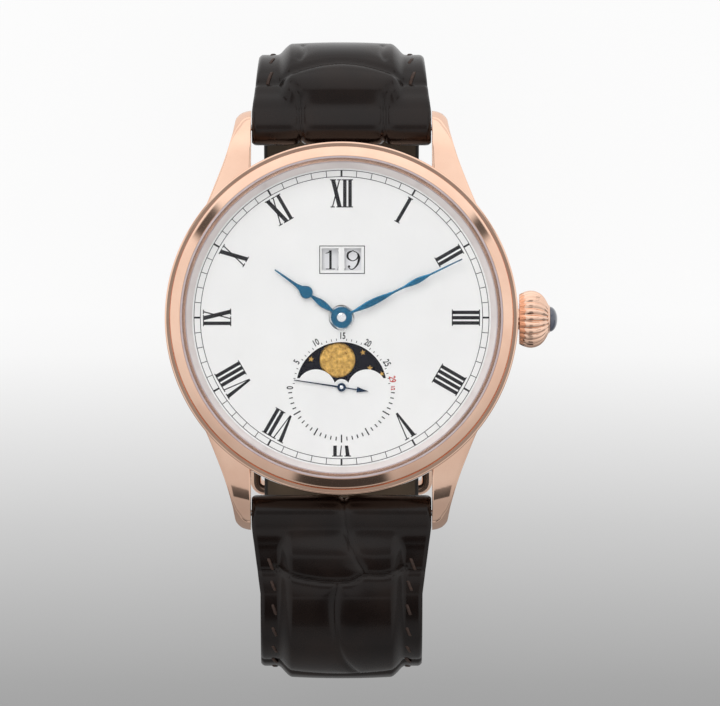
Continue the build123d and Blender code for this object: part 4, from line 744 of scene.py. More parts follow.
def build_crystal(finishes):
    """The domed crystal as one closed turned piece, in place of the frame's stepped one."""
    profile = np.array(crystal_profile())
    segments = 192
    columns = len(profile) - 2
    points = lathe_points(profile[1:-1], segments)
    bottom = len(points)
    points = np.concatenate((points, [(0, 0, profile[0, 1]), (0, 0, profile[-1, 1])]))
    faces = strip_faces(segments, columns, True, False).tolist()
    for i in range(segments):
        j = (i + 1) % segments
        faces.append([bottom, j * columns, i * columns])
        faces.append([bottom + 1, i * columns + columns - 1, j * columns + columns - 1])
    make_piece("crystal_dome", points, faces, finishes["crystal"], "case", replaces=["crystal"])
    under = CRYSTAL_BOTTOM - 0.004
    inner, outer = high("rehaut_ring")[0] - 0.03, CRYSTAL_RADIUS - 0.04
    border = [(inner, under - 0.02), (outer, under - 0.02), (outer, under), (inner, under)]
    lathe("crystal_border", np.array(border), finishes["gasket"], "case", 192)


# Hands and crown

def hand_blade(reach, half_width, clock_angle, centre, bottom, top, edge=0.45):
    """Points and faces of a blade whose half width changes along its reach.

    Across the blade the top is domed: its height is the edge's plus a share that falls with the
    square of the distance from the middle line. The underside is flat.
    """
    across = np.linspace(-1, 1, 9)
    dome = bottom + (top - bottom) * (edge + (1 - edge) * (1 - across**2))
    side = np.concatenate((across, [1.0, -1.0]))
    height = np.concatenate((dome, [bottom, bottom]))
    points = []
    for along, half in zip(reach, half_width):
        flat = clock_place([(half * share, 0) for share in side], clock_angle, along, centre)
        points.extend((x, y, z) for (x, y), z in zip(flat, height))
    return np.array(points), capped_faces(len(reach), len(side))


def hand_hub(inner, outer, centre, bottom, top):
    """Points and faces of a hub ring with softly rounded edges."""
    soft = 0.3 * (top - bottom)
    corners = [(inner, bottom), (outer, bottom), (outer, top), (inner, top)]
    profile = rounded_profile(corners, [0.0, 0.0, soft, soft], 4)
    points = lathe_points(profile, 64, centre)
    return points, strip_faces(64, len(profile), True, True).tolist()


def join_parts(parts):
    """One list of points and faces from several."""
    points, faces, offset = [], [], 0
    for more, more_faces in parts:
        points.append(np.asarray(more))
        faces.extend([index + offset for index in face] for face in more_faces)
        offset += len(more)
    return np.concatenate(points), faces


def leaf(reach, start, end, middle, width, waist):
    """Half width of a leaf that swells smoothly from one waist to a middle and back."""
    share = np.where(reach < middle, (reach - start) / (middle - start), (end - reach) / (end - middle))
    share = np.clip(share, 0, 1)
    return waist + (width - waist) * np.sin(share * math.pi / 2) ** 1.4


# Clock angles of the hands at rest, and half widths at places along each, from its centre
MINUTE_ANGLE, HOUR_ANGLE, SECONDS_ANGLE = 64.2, 305.6, 278.6
MINUTE_WAISTS = ((0.75, 0.14), (11.2, 0.10), (14.72, 0.06))
HOUR_WAISTS = (
    (0.9, 0.16), (4.05, 0.13), (5.25, 0.50), (5.5, 0.32), (5.9, 0.22), (6.4, 0.15), (7.4, 0.12), (9.0, 0.07),
)
HOUR_BULB, HOUR_BULB_RADIUS = 4.74, 0.69
# Inner and outer radius of each hand's hub
MINUTE_HUB, HOUR_HUB, SECONDS_HUB = (0.52, 0.94), (0.6, 1.16), (0.2, 0.47)
# Each cap's radius, its dome's rise, how far rim and foot lie under the hand's top, and its rings
HAND_CAP, SECONDS_CAP = (0.53, 0.2, 0.02, 0.06, 9), (0.22, 0.1, 0.0, 0.04, 7)
SECONDS_BLADE = ((0.4, 0.085), (5.29, 0.045))
SECONDS_TAIL = (
    (0.4, 0.075), (1.0, 0.06), (1.68, 0.055), (1.7, 0.31), (2.0, 0.23), (2.4, 0.13), (2.97, 0.015),
)


def widths_at(reach, places):
    """Half widths along a reach, straight between the given places."""
    return np.interp(reach, *np.transpose(places))


def build_hand(name, parts, finish, body, node):
    """One hand from its blades and hub, in place of the frame's plain one."""
    make_piece(name, *join_parts(parts), finish, body, replaces=[node])


def build_hands(finishes):
    """Leaf-shaped hour and minute hands and a small seconds hand with an arrow tail."""
    zero = np.zeros(2)
    reach = np.concatenate(
        (np.linspace(0.75, 7.0, 26), np.linspace(7.1, 11.2, 24), np.linspace(11.5, 14.72, 6))
    )
    half = widths_at(reach, MINUTE_WAISTS)
    half = np.maximum(half, np.where(reach < 7.1, leaf(reach, 1.0, 7.0, 3.7, 0.36, 0.07), 0))
    half = np.maximum(half, np.where(reach >= 7.1, leaf(reach, 7.2, 11.1, 9.2, 0.31, 0.07), 0))
    bottom, top = low("minute_hand")[2], high("minute_hand")[2]
    parts = [hand_blade(reach, half, MINUTE_ANGLE, zero, bottom, top)]
    parts.append(hand_hub(*MINUTE_HUB, zero, bottom, top + 0.02))
    build_hand("minute_hand_blued", parts, finishes["blued"], "minutes", "minute_hand")
    reach = np.concatenate((np.linspace(0.9, 4.0, 20), np.linspace(4.06, 5.4, 28), np.linspace(5.5, 9.0, 16)))
    half = widths_at(reach, HOUR_WAISTS)
    half = np.where(reach < 4.06, leaf(reach, 1.1, 4.05, 2.6, 0.375, 0.13), half)
    bulb = np.sqrt(np.maximum(HOUR_BULB_RADIUS**2 - (reach - HOUR_BULB) ** 2, 0))
    half = np.where((reach > 4.05) & (reach < 5.25), np.maximum(bulb, 0.13), half)
    bottom, top = low("hour_hand")[2], high("hour_hand")[2]
    parts = [hand_blade(reach, half, HOUR_ANGLE, zero, bottom, top)]
    parts.append(hand_hub(*HOUR_HUB, zero, bottom, top + 0.015))
    build_hand("hour_hand_blued", parts, finishes["blued"], "hours", "hour_hand")
    bottom, top = low("seconds_hand")[2], high("seconds_hand")[2]
    reach = np.linspace(0.4, 5.29, 12)
    parts = [hand_blade(reach, widths_at(reach, SECONDS_BLADE), SECONDS_ANGLE, SUBDIAL, bottom, top)]
    reach, half = np.transpose(SECONDS_TAIL)
    parts.append(hand_blade(reach, half, SECONDS_ANGLE - 180, SUBDIAL, bottom, top))
    parts.append(hand_hub(*SECONDS_HUB, SUBDIAL, bottom, top + 0.02))
    build_hand("seconds_hand_blued", parts, finishes["blued_dark"], "seconds", "seconds_hand")
    for name, node, body, centre, (radius, rise, sink, foot, count) in (
        ("hand_cap", "minute_hand", "minutes", zero, HAND_CAP),
        ("seconds_cap", "seconds_hand", "seconds", SUBDIAL, SECONDS_CAP),
    ):
        top = high(node)[2]
        angle = np.linspace(0, math.pi / 2 - 0.03, count)
        dome = [(radius * math.cos(a), top - sink + rise * math.sin(a)) for a in angle]
        cap(dome, radius, top - foot, centre, name, finishes["polished"], body)


def cap(dome, radius, bottom, centre, name, finish, body, segments=48):
    """A closed round cap: a flat foot under a turned dome."""
    profile = [(0.004, bottom), (radius, bottom)] + dome
    points = lathe_points(profile, segments, centre)
    columns = len(profile)
    faces = strip_faces(segments, columns, True, False).tolist()
    faces.append([i * columns for i in range(segments)])
    faces.append([i * columns + columns - 1 for i in range(segments)][::-1])
    make_piece(name, points, faces, finish, body)


# Places along the crown from its case side, over its drawn length, with radii or flute depths
CROWN_LENGTH = 3.4
CROWN_RECESS = 2.2
SIDES_OF_FLUTE = 12
CROWN_OUTLINE = (
    (0.0, 2.7), (0.12, 2.82), (0.6, 3.04), (1.2, 3.17), (1.8, 3.1),
    (2.35, 2.84), (2.75, 2.46), (3.02, 2.05), (3.16, 1.78),
)
CROWN_END = ((3.22, 1.66), (3.24, 1.6), (3.36, 1.56), (3.4, 1.5), (3.4, 1.38), (3.3, 1.3), (3.3, 0.02))
FLUTE_DEPTHS = ((0.0, 0.02), (0.15, 0.05), (0.9, 0.075), (2.2, 0.1), (3.16, 0.13))
CABOCHON_RADIUS = 1.4


def upright_rings(rings, axis, angle):
    """Points of rings about an axis along X, each with its place and its radius or radii."""
    points = []
    for x, radius in rings:
        y = axis[0] + radius * np.cos(angle)
        z = axis[1] + radius * np.sin(angle)
        points.extend(np.stack((np.full(len(angle), x), y, z), -1))
    return np.array(points)


def build_crown(finishes, settings):
    """The onion crown: a turned outline whose radius is pressed in between its rounded ribs.

    The radius is the outline's, less the flute's depth times one minus the size of the cosine of
    half the flute count times the angle, which leaves round ribs and sharp valleys.
    """
    flutes = settings.flutes
    start = low("crown")[0]
    axis = np.array((0.0, (low("crown")[2] + high("crown")[2]) / 2))
    recess = high("crown_tube")[1] + 0.1
    outline = curve(CROWN_OUTLINE, 5)
    segments = flutes * SIDES_OF_FLUTE
    angle = np.linspace(0, TAU, segments, endpoint=False)
    rib = 1 - np.abs(np.cos(flutes * angle / 2))
    deep = start + CROWN_RECESS
    stretch = (high("crown")[0] - start) / CROWN_LENGTH
    rings = [(deep, 0.02), (deep, recess), (start, recess)]
    for along, radius in outline:
        depth = widths_at(along, FLUTE_DEPTHS)
        rings.append((start + along * stretch, radius * (1 - depth * rib)))
    rings += [(start + along * stretch, radius) for along, radius in CROWN_END]
    points = upright_rings(rings, axis, angle)
    faces = capped_faces(len(rings), segments)
    make_piece("onion_crown", points, faces, finishes["rose_gold"], "crown", replaces=["crown"])
    end = high("crown")[0] + 0.005
    peak = high("crown_cabochon")[0] - end
    ring = np.linspace(0, TAU, 96, endpoint=False)
    rows = [(end, 0.02), (end, CABOCHON_RADIUS)]
    for a in np.linspace(0.05, math.pi / 2 - 0.015, 16):
        rows.append((end + peak * math.sin(a), CABOCHON_RADIUS * math.cos(a)))
    points = upright_rings(rows, axis, ring)
    faces = capped_faces(len(rows), len(ring))
    make_piece("cabochon", points, faces, finishes["stone"], "crown", replaces=["crown_cabochon"])


# Strap

# Places along Y and Z: the spring bar's, and where the strap's line leaves its roll round it
BAR = np.array((LUG_SPAN - 1.9, 2.3))
STRAP_LEATHER = 1.7
STRAP_LINING = 0.8
STRAP_START = (22.374, 2.316)
ROLL_PATH = 0.28
ROLL_RADIUS = ROLL_PATH + STRAP_LEATHER
TAIL_HALF = 9.0
LUG_HALF = 9.95
TAPER_Y = (22.5, 30.0)
# Distances of the last added rows from a strap's end, as shares of the last step
END_SHARES = np.array((0.5, 0.28, 0.12, 0.03))


def strap_route(side, pieces, spacing):
    """Points, outward normals and distances along a strap's line of straights and arcs.

    A piece is a straight ("to", y, z), a new start ("from", y, z) or an arc ("arc", centre,
    radius, first and last angle, bulge), whose angles count from the side that it bulges to,
    as the frame's strap was drawn. Distances count from the new start.
    """
    points = []
    normals = []
    last = None
    wrapped = 0
    for piece in pieces:
        if piece[0] == "from":
            last = np.array(piece[1:], float)
            wrapped = len(points)
            continue
        if piece[0] == "to":
            end = np.array(piece[1:], float)
            length = np.linalg.norm(end - last)
            way = (end - last) / length
            share = np.arange(0, length, spacing)[:, None] / length
            points.extend(last + (end - last) * share)
            normals.extend([(-way[1] * side, way[0] * side)] * len(share))
            last = end
            continue
        centre, radius, first, final, bulge = piece[1:]
        swing = abs(math.radians(final - first))
        count = max(2, int(swing * max(radius, ROLL_RADIUS) / spacing))
        angle = np.radians(np.linspace(first, final, count, endpoint=False))
        normal = np.stack((bulge * np.cos(angle), np.sin(angle)), -1)
        points.extend(np.asarray(centre) + radius * normal)
        normals.extend(normal)
        angle = math.radians(final)
        last = np.asarray(centre) + radius * np.array((bulge * math.cos(angle), math.sin(angle)))
    points.append(last)
    normals.append(normals[-1])
    points = np.array(points)
    normals = np.array(normals)
    extra = points[-2] + (points[-1] - points[-2]) * (1 - END_SHARES)[:, None]
    points = np.vstack((points[:-1], extra, points[-1:]))
    normals = np.vstack((normals[:-1], np.repeat(normals[-2:-1], 4, 0), normals[-1:]))
    step = np.linalg.norm(np.diff(points, axis=0), axis=1)
    step[:wrapped] = np.linalg.norm(np.diff(normals[: wrapped + 1], axis=0), axis=1) * ROLL_RADIUS
    distance = np.concatenate(([0.0], np.cumsum(step)))
    return points, normals, distance - distance[wrapped]


def route_12(spacing=0.25):
    """The upper half's line: round its spring bar, over the bend and round to the buckle's bar."""
    pieces = [
        ("arc", BAR, ROLL_PATH, 325.0, 65.0, 1),
        ("from", *STRAP_START),
        ("to", 24.458, 1.344),
        ("arc", (21.5, -5.0), 7.0, 65.0, 0.0, 1),
        ("to", 28.5, -23.0),
        ("arc", (6.5, -23.0), 22.0, 0.0, -90.0, 1),
        ("to", -8.3, -45.0),
    ]
    return strap_route(1, pieces, spacing)


def route_6(spacing=0.25):
    """The lower half's line: round its spring bar, then outside the upper half to its tip."""
    pieces = [
        ("arc", BAR * (-1, 1), ROLL_PATH, 325.0, 72.0, -1),
        ("from", -STRAP_START[0], STRAP_START[1]),
        ("to", -29.99, -0.159),
        ("arc", (-26.9, -9.669), 10.0, 72.0, 0.0, -1),
        ("to", -36.9, -23.0),
        ("arc", (-12.2, -23.0), 24.7, 0.0, -90.0, -1),
        ("to", 6.5, -47.7),
        ("arc", (6.5, -23.0), 24.7, -90.0, -56.0, 1),
    ]
    return strap_route(-1, pieces, spacing)


def strap_half_width(route, rounded=False):
    """Half the strap's width along its line: wide between the lugs, narrower past them.

    At a rounded end the half width is that of a half circle as wide as the strap.
    """
    points, _, distance = route
    widths = np.interp(np.abs(points[:, 0]), TAPER_Y, (LUG_HALF, TAIL_HALF))
    widths = np.where(points[:, 1] > -9.0, widths, TAIL_HALF)
    if rounded:
        left = np.minimum(distance[-1] - distance, TAIL_HALF)
        round_tip = np.sqrt(np.maximum(TAIL_HALF**2 - (TAIL_HALF - left) ** 2, 0.01))
        widths = np.where(left < TAIL_HALF, np.minimum(widths, round_tip), widths)
    return widths


def smooth(value, start, end):
    """Zero before the start and one past the end, with a smooth rise between."""
    share = np.clip((value - start) / (end - start), 0, 1)
    return share * share * (3 - 2 * share)


def padded_height(across, distance, end, height):
    """Height of the leather's outer face over the strap's line.

    Between the stitch lines the face rises by the padding on smooth shoulders. By the lugs the
    padding sinks into the roll and spreads to the edges; outside the stitches the border dips.
    """
    shoulder = smooth(np.abs(across), 7.1, 5.5) * (1 - 0.15 * (across / 6.0) ** 2)
    spread = smooth(distance, 2.6, 0.4)
    rise = smooth(distance, 0.1, 3.4) * smooth(distance, end, end - 10.0)
    dip = 0.2 * smooth(distance, 0.6, 2.8) * smooth(distance, end, end - 10.0)
    border = dip * smooth(np.abs(across), 6.2, 7.2)
    return STRAP_LEATHER + height * rise * np.maximum(shoulder, 0.6 * spread) - border


def line_distance(across, distance, line):
    """How far each place is from a flat polyline."""
    nearest = np.full(across.shape, 1e9)
    line = np.asarray(line, float)
    for a, b in zip(line[:-1], line[1:]):
        way = b - a
        share = ((across - a[0]) * way[0] + (distance - a[1]) * way[1]) / (way @ way)
        share = np.clip(share, 0, 1)
        gap = np.hypot(across - a[0] - share * way[0], distance - a[1] - share * way[1])
        nearest = np.minimum(nearest, gap)
    return nearest


def crease_depth(across, distance, creases):
    """Depth of the embossed creases: a narrow valley inside a wide soft one along each line."""
    depth = np.zeros(across.shape)
    for line, width, deep in creases:
        gap = line_distance(across, distance, line)
        valley = 0.65 * np.exp(-((gap / width) ** 2)) + 0.35 * np.exp(-((gap / (3.2 * width)) ** 2))
        depth = np.maximum(depth, deep * valley)
    return depth


def curve(points, count=14):
    """A smooth line through a few points, as a run of short straights.

    Between two points it is the cubic whose slope at each point follows its two neighbours.
    """
    points = np.asarray(points, float)
    padded = np.vstack((2 * points[0] - points[1], points, 2 * points[-1] - points[-2]))
    line = []
    for a, b, c, d in zip(padded, padded[1:], padded[2:], padded[3:]):
        square = 2 * a - 5 * b + 4 * c - d
        cube = 3 * b - a - 3 * c + d
        for share in np.linspace(0, 1, count, endpoint=False):
            line.append(0.5 * (2 * b + (c - a) * share + square * share**2 + cube * share**3))
    line.append(points[-1])
    return np.array(line)


SCALE_PITCH = 9.6
SCALE_BOWS = (0.9, -0.7, 0.5)


def scale_rows(start, end, shift):
    """Creases of the large scales past the part that the photograph shows.

    Each row has one bowed line from edge to edge and one or two lines along the strap.
    """
    splits = ((-2.4 + shift, 2.9), (0.3 + shift,), (-3.6, 1.4 + shift))
    creases = []
    place = start
    index = 0
    while place < end:
        bow = SCALE_BOWS[index % 3]
        row = [(-6.9, place), (-3.0, place + bow), (2.5, place + 0.8 * bow), (6.9, place)]
        creases.append((curve(row, 5), 0.3, 0.42))
        for side in (-1, 1):
            creases.append(([(side * 7.4, place + 0.3 * side), (side * 9.6, place + 0.2)], 0.25, 0.3))
        for across in splits[index % 3]:
            split = [(across, place + bow), (across + 0.4, place + 4.5), (across - 0.1, place + 9.2)]
            creases.append((curve(split, 4), 0.28, 0.3))
        place += SCALE_PITCH
        index += 1
    return creases


EDGE_DROP, EDGE_WIDTH = 0.3, 0.45
HOLE_STRETCH = 1.4


def strap_surface(name, route, end, creases, finish, height, columns, replaces, holes=()):
    """The leather of one strap half: a closed swept grid with its scales pressed in.

    Each place across and along the line stands off it by the padded height less the creases'
    depth, and the section closes through a narrow rounded edge and the flat underside.
    """
    points, normals, distance = route
    widths = strap_half_width(route, bool(holes))
    share = np.linspace(-1, 1, columns)
    across = widths[:, None] * share
    along_rows = np.broadcast_to(distance[:, None], across.shape)
    top = padded_height(across, along_rows, end, height) - crease_depth(across, along_rows, creases)
    away = widths[:, None] - np.abs(across)
    top -= EDGE_DROP * (1 - np.clip(away / EDGE_WIDTH, 0, 1)) ** 2
    for place in holes:
        gap = np.hypot(across, (along_rows - place) / HOLE_STRETCH)
        top = np.where(gap < 1.25, np.minimum(top, 0.15 + 1.5 * smooth(gap, 0.9, 1.1)), top)
    under = np.where(distance < 0, 0.5, 0.02 + 0.48 * np.clip(1 - distance / 1.2, 0, 1))
    back = widths[:, None] * np.linspace(1, -1, 7)
    sections = np.concatenate((across, back), 1)
    heights = np.concatenate((top, np.broadcast_to(under[:, None], back.shape)), 1)
    place = points[:, None, :] + normals[:, None, :] * heights[..., None]
    grid = np.concatenate((sections[..., None], place), -1)
    uv = np.stack((sections * MM, np.broadcast_to(distance[:, None], sections.shape) * MM), -1)
    faces = capped_faces(*sections.shape)
    grid = grid.reshape(-1, 3)
    piece = make_piece(name, grid, faces, finish, "case", uv=uv.reshape(-1, 2), replaces=replaces)
    return piece


# Creases that the photograph shows: a line across and along the strap, its width and its depth
UPPER_BOW = ((-6.9, 3.7), (-4.6, 4.5), (-2.2, 5.1), (0.0, 5.3), (2.2, 5.1), (4.6, 4.5), (6.9, 3.7))
LOWER_BOW = ((-7.0, 5.0), (-4.5, 5.8), (-1.5, 6.2), (1.0, 6.1), (2.5, 5.4), (4.6, 5.4), (7.0, 4.9))
UPPER_CREASES = [
    (curve(UPPER_BOW), 0.3, 0.5),
    ([(-9.8, 3.6), (-7.4, 3.6)], 0.25, 0.35),
    ([(7.4, 3.6), (9.8, 3.6)], 0.25, 0.35),
    (curve([(-4.5, 1.6), (-4.55, 0.3), (-4.5, -1.4), (-4.5, -5.0)]), 0.26, 0.45),
    (curve([(4.75, 1.6), (4.8, 0.3), (4.75, -1.4), (4.75, -5.0)]), 0.26, 0.45),
    (curve([(-6.7, 3.5), (-5.5, 2.9), (-4.9, 2.3), (-4.5, 1.5)]), 0.3, 0.22),
    (curve([(6.9, 3.5), (5.8, 2.9), (5.1, 2.3), (4.75, 1.5)]), 0.3, 0.22),
    (curve([(-4.3, 8.4), (-4.2, 6.8), (-4.6, 5.6)]), 0.3, 0.22),
    (curve([(4.6, 8.4), (4.5, 6.8), (4.8, 5.6)]), 0.3, 0.22),
]
LOWER_CREASES = [
    (curve([(0.3, -4.0), (0.35, -0.8), (0.9, 1.4), (1.7, 3.6), (2.5, 5.0)]), 0.3, 0.4),
    (curve(LOWER_BOW), 0.3, 0.5),
    ([(-9.4, 5.3), (-7.5, 5.3)], 0.25, 0.35),
    ([(7.5, 5.3), (9.2, 5.3)], 0.25, 0.35),
    (curve([(-0.4, 6.4), (-0.8, 9.0), (-0.5, 12.5), (0.2, 15.0), (1.6, 17.6)]), 0.3, 0.34),
    (curve([(-7.0, 17.6), (-4.0, 18.2), (-0.3, 18.5), (3.5, 18.2), (7.0, 17.6)]), 0.3, 0.45),
    ([(-9.2, 17.6), (-7.5, 17.6)], 0.25, 0.35),
    ([(7.5, 17.6), (9.2, 17.6)], 0.25, 0.35),
]
UPPER_PAD_END = 45.0
LOWER_PAD_END = 50.0
BUCKLE_BAR = (low("buckle_bar")[1:] + high("buckle_bar")[1:]) / 2
HOLE_OFFSET = 4.9
HOLE_PITCH = 6.5
TAIL_HEIGHT = -47.69


def hole_places(route):
    """Distances of the buckle holes along the lower half, one of them under the tongue."""
    points, _, distance = route
    flat = np.where(points[:, 1] < TAIL_HEIGHT)[0][0]
    first = distance[flat] + (BUCKLE_BAR[0] - HOLE_OFFSET) - points[flat, 0]
    return [first + index * HOLE_PITCH for index in range(-3, 4)]


def build_strap(finishes, settings):
    """Both strap halves and their linings, in place of the frame's plain ones."""
    height = settings.padding / MM
    pitch = settings.stitch_pitch / MM
    upper = route_12()
    lower = route_6()
    strap_surface(
        "strap_upper", upper, UPPER_PAD_END, UPPER_CREASES + scale_rows(14.5, 84.0, 0.6),
        finishes["leather"], height, 113, ["strap_12_leather"],
    )
    strap_surface(
        "strap_lower", lower, LOWER_PAD_END, LOWER_CREASES + scale_rows(27.5, 86.0, -0.5),
        finishes["leather"], height, 113, ["strap_6_leather"], hole_places(lower),
    )
    build_lining("lining_upper", upper, finishes["lining"], "strap_12_lining", False)
    build_lining("lining_lower", lower, finishes["lining"], "strap_6_lining", True)
    for name, route, pad_end, free in (
        ("stitches_upper", upper, UPPER_PAD_END, 3.0), ("stitches_lower", lower, LOWER_PAD_END, 8.5),
    ):
        places = np.arange(STITCH_START, route[2][-1] - free, pitch)
        build_stitches(name, route, pad_end, height, places, finishes["thread"])


def build_lining(name, route, finish, node, rounded):
    """A lining on the wrist side of a strap's line, with softly rounded edges."""
    points, normals, distance = route
    widths = np.maximum(strap_half_width(route, rounded) - 0.02, 0.05)
    keep = np.where(distance >= 0.9)[0]
    keep = np.unique(np.concatenate((keep[:-40:2], keep[-40:])))
    corners = [(-1, -STRAP_LINING), (1, -STRAP_LINING), (1, 0.0), (-1, 0.0)]
    rows = []
    for point, normal, width in zip(points[keep], normals[keep], widths[keep]):
        soft = min(0.3, 0.4 * width)
        section = rounded_profile([(x * width, h) for x, h in corners], [soft, soft, 0.0, 0.0], 5)
        place = point + normal * section[:, 1:]
        rows.append(np.concatenate((section[:, :1], place), 1))
    grid = np.array(rows)
    faces = capped_faces(*grid.shape[:2])
    make_piece(name, grid.reshape(-1, 3), faces, finish, "case", replaces=[node])


def sweep_section(path, section, flat):
    """Points and faces of a closed section swept along a plane path.

    A section point (a, b) lies a along the plane's normal and b across the path from it.
    """
    path = np.asarray(path, float)
    way = np.gradient(path, axis=0)
    way /= np.linalg.norm(way, axis=1)[:, None]
    flat = np.asarray(flat, float)
    side = np.cross(way, flat)
    section = np.asarray(section, float)
    grid = path[:, None] + section[None, :, :1] * flat + section[None, :, 1:] * side[:, None]
    return grid.reshape(-1, 3), capped_faces(*grid.shape[:2])


STITCH_START = 4.4
STITCH_EDGE = 1.55
THREAD_WIDTH, THREAD_HEIGHT = 0.2, 0.13


def build_stitches(name, route, pad_end, height, places, finish):
    """Slanted thread stitches along both edges, each arching out of the leather and back.

    A stitch is an oval thread whose middle line stands off the leather by a share that falls
    with the fourth power of the distance from the stitch's middle.
    """
    points, normals, distance = route
    widths = strap_half_width(route)
    circle = np.linspace(0, TAU, 6, endpoint=False)
    share = np.linspace(-1, 1, 6)
    a, b = THREAD_WIDTH * np.cos(circle), THREAD_HEIGHT * np.sin(circle)
    parts = []
    for place in places:
        for edge in (-1, 1):
            along = place + 0.85 * share
            across = edge * (np.interp(place, distance, widths) - STITCH_EDGE) + 0.3 * share
            lift = padded_height(across, along, pad_end, height) + 0.02 - 0.4 * share**4
            y, z = (np.interp(along, distance, points[:, i]) for i in (0, 1))
            out_y, out_z = (np.interp(along, distance, normals[:, i]) for i in (0, 1))
            reach = lift[:, None] + b
            grid = np.stack((across[:, None] + a, y[:, None] + out_y[:, None] * reach,
                             z[:, None] + out_z[:, None] * reach), -1)
            parts.append((grid.reshape(-1, 3), capped_faces(*grid.shape[:2])))
    make_piece(name, *join_parts(parts), finish, "case")


def round_section(width, height, soft, count=4):
    """A rounded rectangle round zero as a closed section."""
    x, y = width / 2, height / 2
    return rounded_profile([(-x, -y), (x, -y), (x, y), (-x, y)], [soft] * 4, count)


KEEPER_PLAY = 0.12


def build_keepers(finishes):
    """Two thin leather bands round both halves: a strip's section carried round a rounded box."""
    for node in ("fixed_keeper", "free_keeper"):
        body = body_of(node)
        bottom, top = low(node), high(node)
        middle = (bottom + top) / 2
        half_x = TAIL_HALF + KEEPER_PLAY
        half_z = (top[2] - bottom[2]) / 2 - 0.9
        loop = round_section(2 * half_x, 2 * half_z, 0.45, 7)
        loop = loop[np.linalg.norm(loop - np.roll(loop, 1, 0), axis=1) > 1e-6]
        way = np.roll(loop, -1, 0) - np.roll(loop, 1, 0)
        away = np.stack((way[:, 1], -way[:, 0]), -1) / np.linalg.norm(way, axis=1)[:, None]
        if (away * loop).sum() < 0:
            away = -away
        end = (top[1] - bottom[1]) / 2
        strip = [(-end, 0.0), (end, 0.0), (end, 0.5), (end - 0.5, 0.72), (0.5 - end, 0.72), (-end, 0.5)]
        section = rounded_profile(strip, [0.05, 0.05, 0.12, 0.3, 0.3, 0.12], 3)
        across, height = section[:, 0], section[:, 1:]
        ring = loop[:, None] + away[:, None] * height
        grid = np.stack((ring[..., 0], np.broadcast_to(across, ring.shape[:2]), ring[..., 1]), -1) + middle
        faces = strip_faces(len(loop), len(section), True, True)
        make_piece(node + "_band", grid.reshape(-1, 3), faces, finishes["leather"], body, replaces=[node])


def body_of(node):
    """The body that a piece of the frame rides on."""
    return frame["nodes"][node]["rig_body"]


def cross_ring(place, inner, outer, start, end, soft, segments=48):
    """Points and faces of a tube along X round a place in Y and Z, with soft outer edges."""
    corners = [(start, inner), (end, inner), (end, outer), (start, outer)]
    profile = rounded_profile(corners, [0.0, 0.0, soft, soft], 4)
    angle = np.linspace(0, TAU, segments, endpoint=False)[:, None]
    along, radius = profile[:, 0], profile[:, 1]
    grid = np.stack(
        (
            np.broadcast_to(along, (segments, len(profile))),
            place[0] + radius * np.cos(angle),
            place[1] + radius * np.sin(angle),
        ),
        -1,
    )
    return grid.reshape(-1, 3), strip_faces(segments, len(profile), True, True).tolist()


def build_buckle(finishes):
    """The pin buckle: a smooth bow, the tongue on its ring and the leather roll on the bar."""
    lowest, highest = low("buckle_frame"), high("buckle_frame")
    arm_x = highest[0] - 0.65
    bar_y, bar_z = BUCKLE_BAR
    tip_y, tip_z = lowest[1] + 0.95, lowest[2] + 0.95
    fall = (tip_z - bar_z) / (tip_y - bar_y)
    corner = 1.1
    plan = [(arm_x, y) for y in np.linspace(bar_y + 1.0, tip_y + corner, 10)]
    turns = np.linspace(0, math.pi / 2, 8)[1:]
    plan += [(arm_x - corner * (1 - math.cos(a)), tip_y + corner * (1 - math.sin(a))) for a in turns]
    plan += [(x, tip_y) for x in np.linspace(arm_x - corner, 0, 8)[1:]]
    half = np.array([(x, y, bar_z + (y - bar_y) * fall) for x, y in plan])
    path = np.concatenate((half, (half * (-1, 1, 1))[-2::-1]))
    slope = np.array((0.0, -fall, 1.0)) / math.hypot(1, fall)
    points, faces = sweep_section(path, round_section(1.9, 1.3, 0.45), slope)
    body = body_of("buckle_frame")
    make_piece("buckle_bow", points, faces, finishes["rose_gold"], body, replaces=["buckle_frame"])
    rest = low("buckle_tongue")[2] + 0.45
    path = curve(
        [
            (0, bar_y - 0.9, bar_z), (0, bar_y - 2.2, bar_z - 0.15), (0, bar_y - 3.9, bar_z - 1.0),
            (0, bar_y - 5.1, bar_z - 3.3), (0, bar_y - 6.6, rest + 1.15), (0, tip_y + 1.1, rest + 0.05),
            (0, tip_y - 0.2, rest), (0, tip_y - 1.05, rest + 0.02),
        ],
        8,
    )
    blade = sweep_section(path, round_section(1.5, 0.88, 0.3), (1, 0, 0))
    ring = cross_ring(BUCKLE_BAR, 0.66, 1.1, -0.78, 0.78, 0.15)
    points, faces = join_parts([blade, ring])
    body = body_of("buckle_tongue")
    make_piece("tongue_pin", points, faces, finishes["rose_gold"], body, replaces=["buckle_tongue"])
    spans = ((1.02, 8.95), (-8.95, -1.02))
    rolls = [cross_ring(BUCKLE_BAR, 0.72, 1.48, start, end, 0.35, 64) for start, end in spans]
    points, faces = join_parts(rolls)
    make_piece("buckle_roll", points, faces, finishes["leather"], body_of("buckle_bar"))


# Prints on the dial and its discs

PRINT = 0.012
TRACK_RINGS = ((16.16, 16.23), (15.46, 15.53))
MINUTE_FOOT, MINUTE_LENGTH, HOUR_WIDTH, MINUTE_WIDTH = 15.5, 0.7, 0.2, 0.075
NUMERALS = ("XII", "I", "II", "III", "IIII", "V", "VI", "VII", "VIII", "IX", "X", "XI")
NUMERAL_HEIGHT, NUMERAL_FOOT = 3.1, 12.1
CUT_NUMERAL, CUT_HEIGHT, CUT_FOOT = "VI", 1.9, 12.15
FRAME_X, FRAME_Y, FRAME_LINE = (-2.43, 2.56), (4.8, 7.9), 0.085
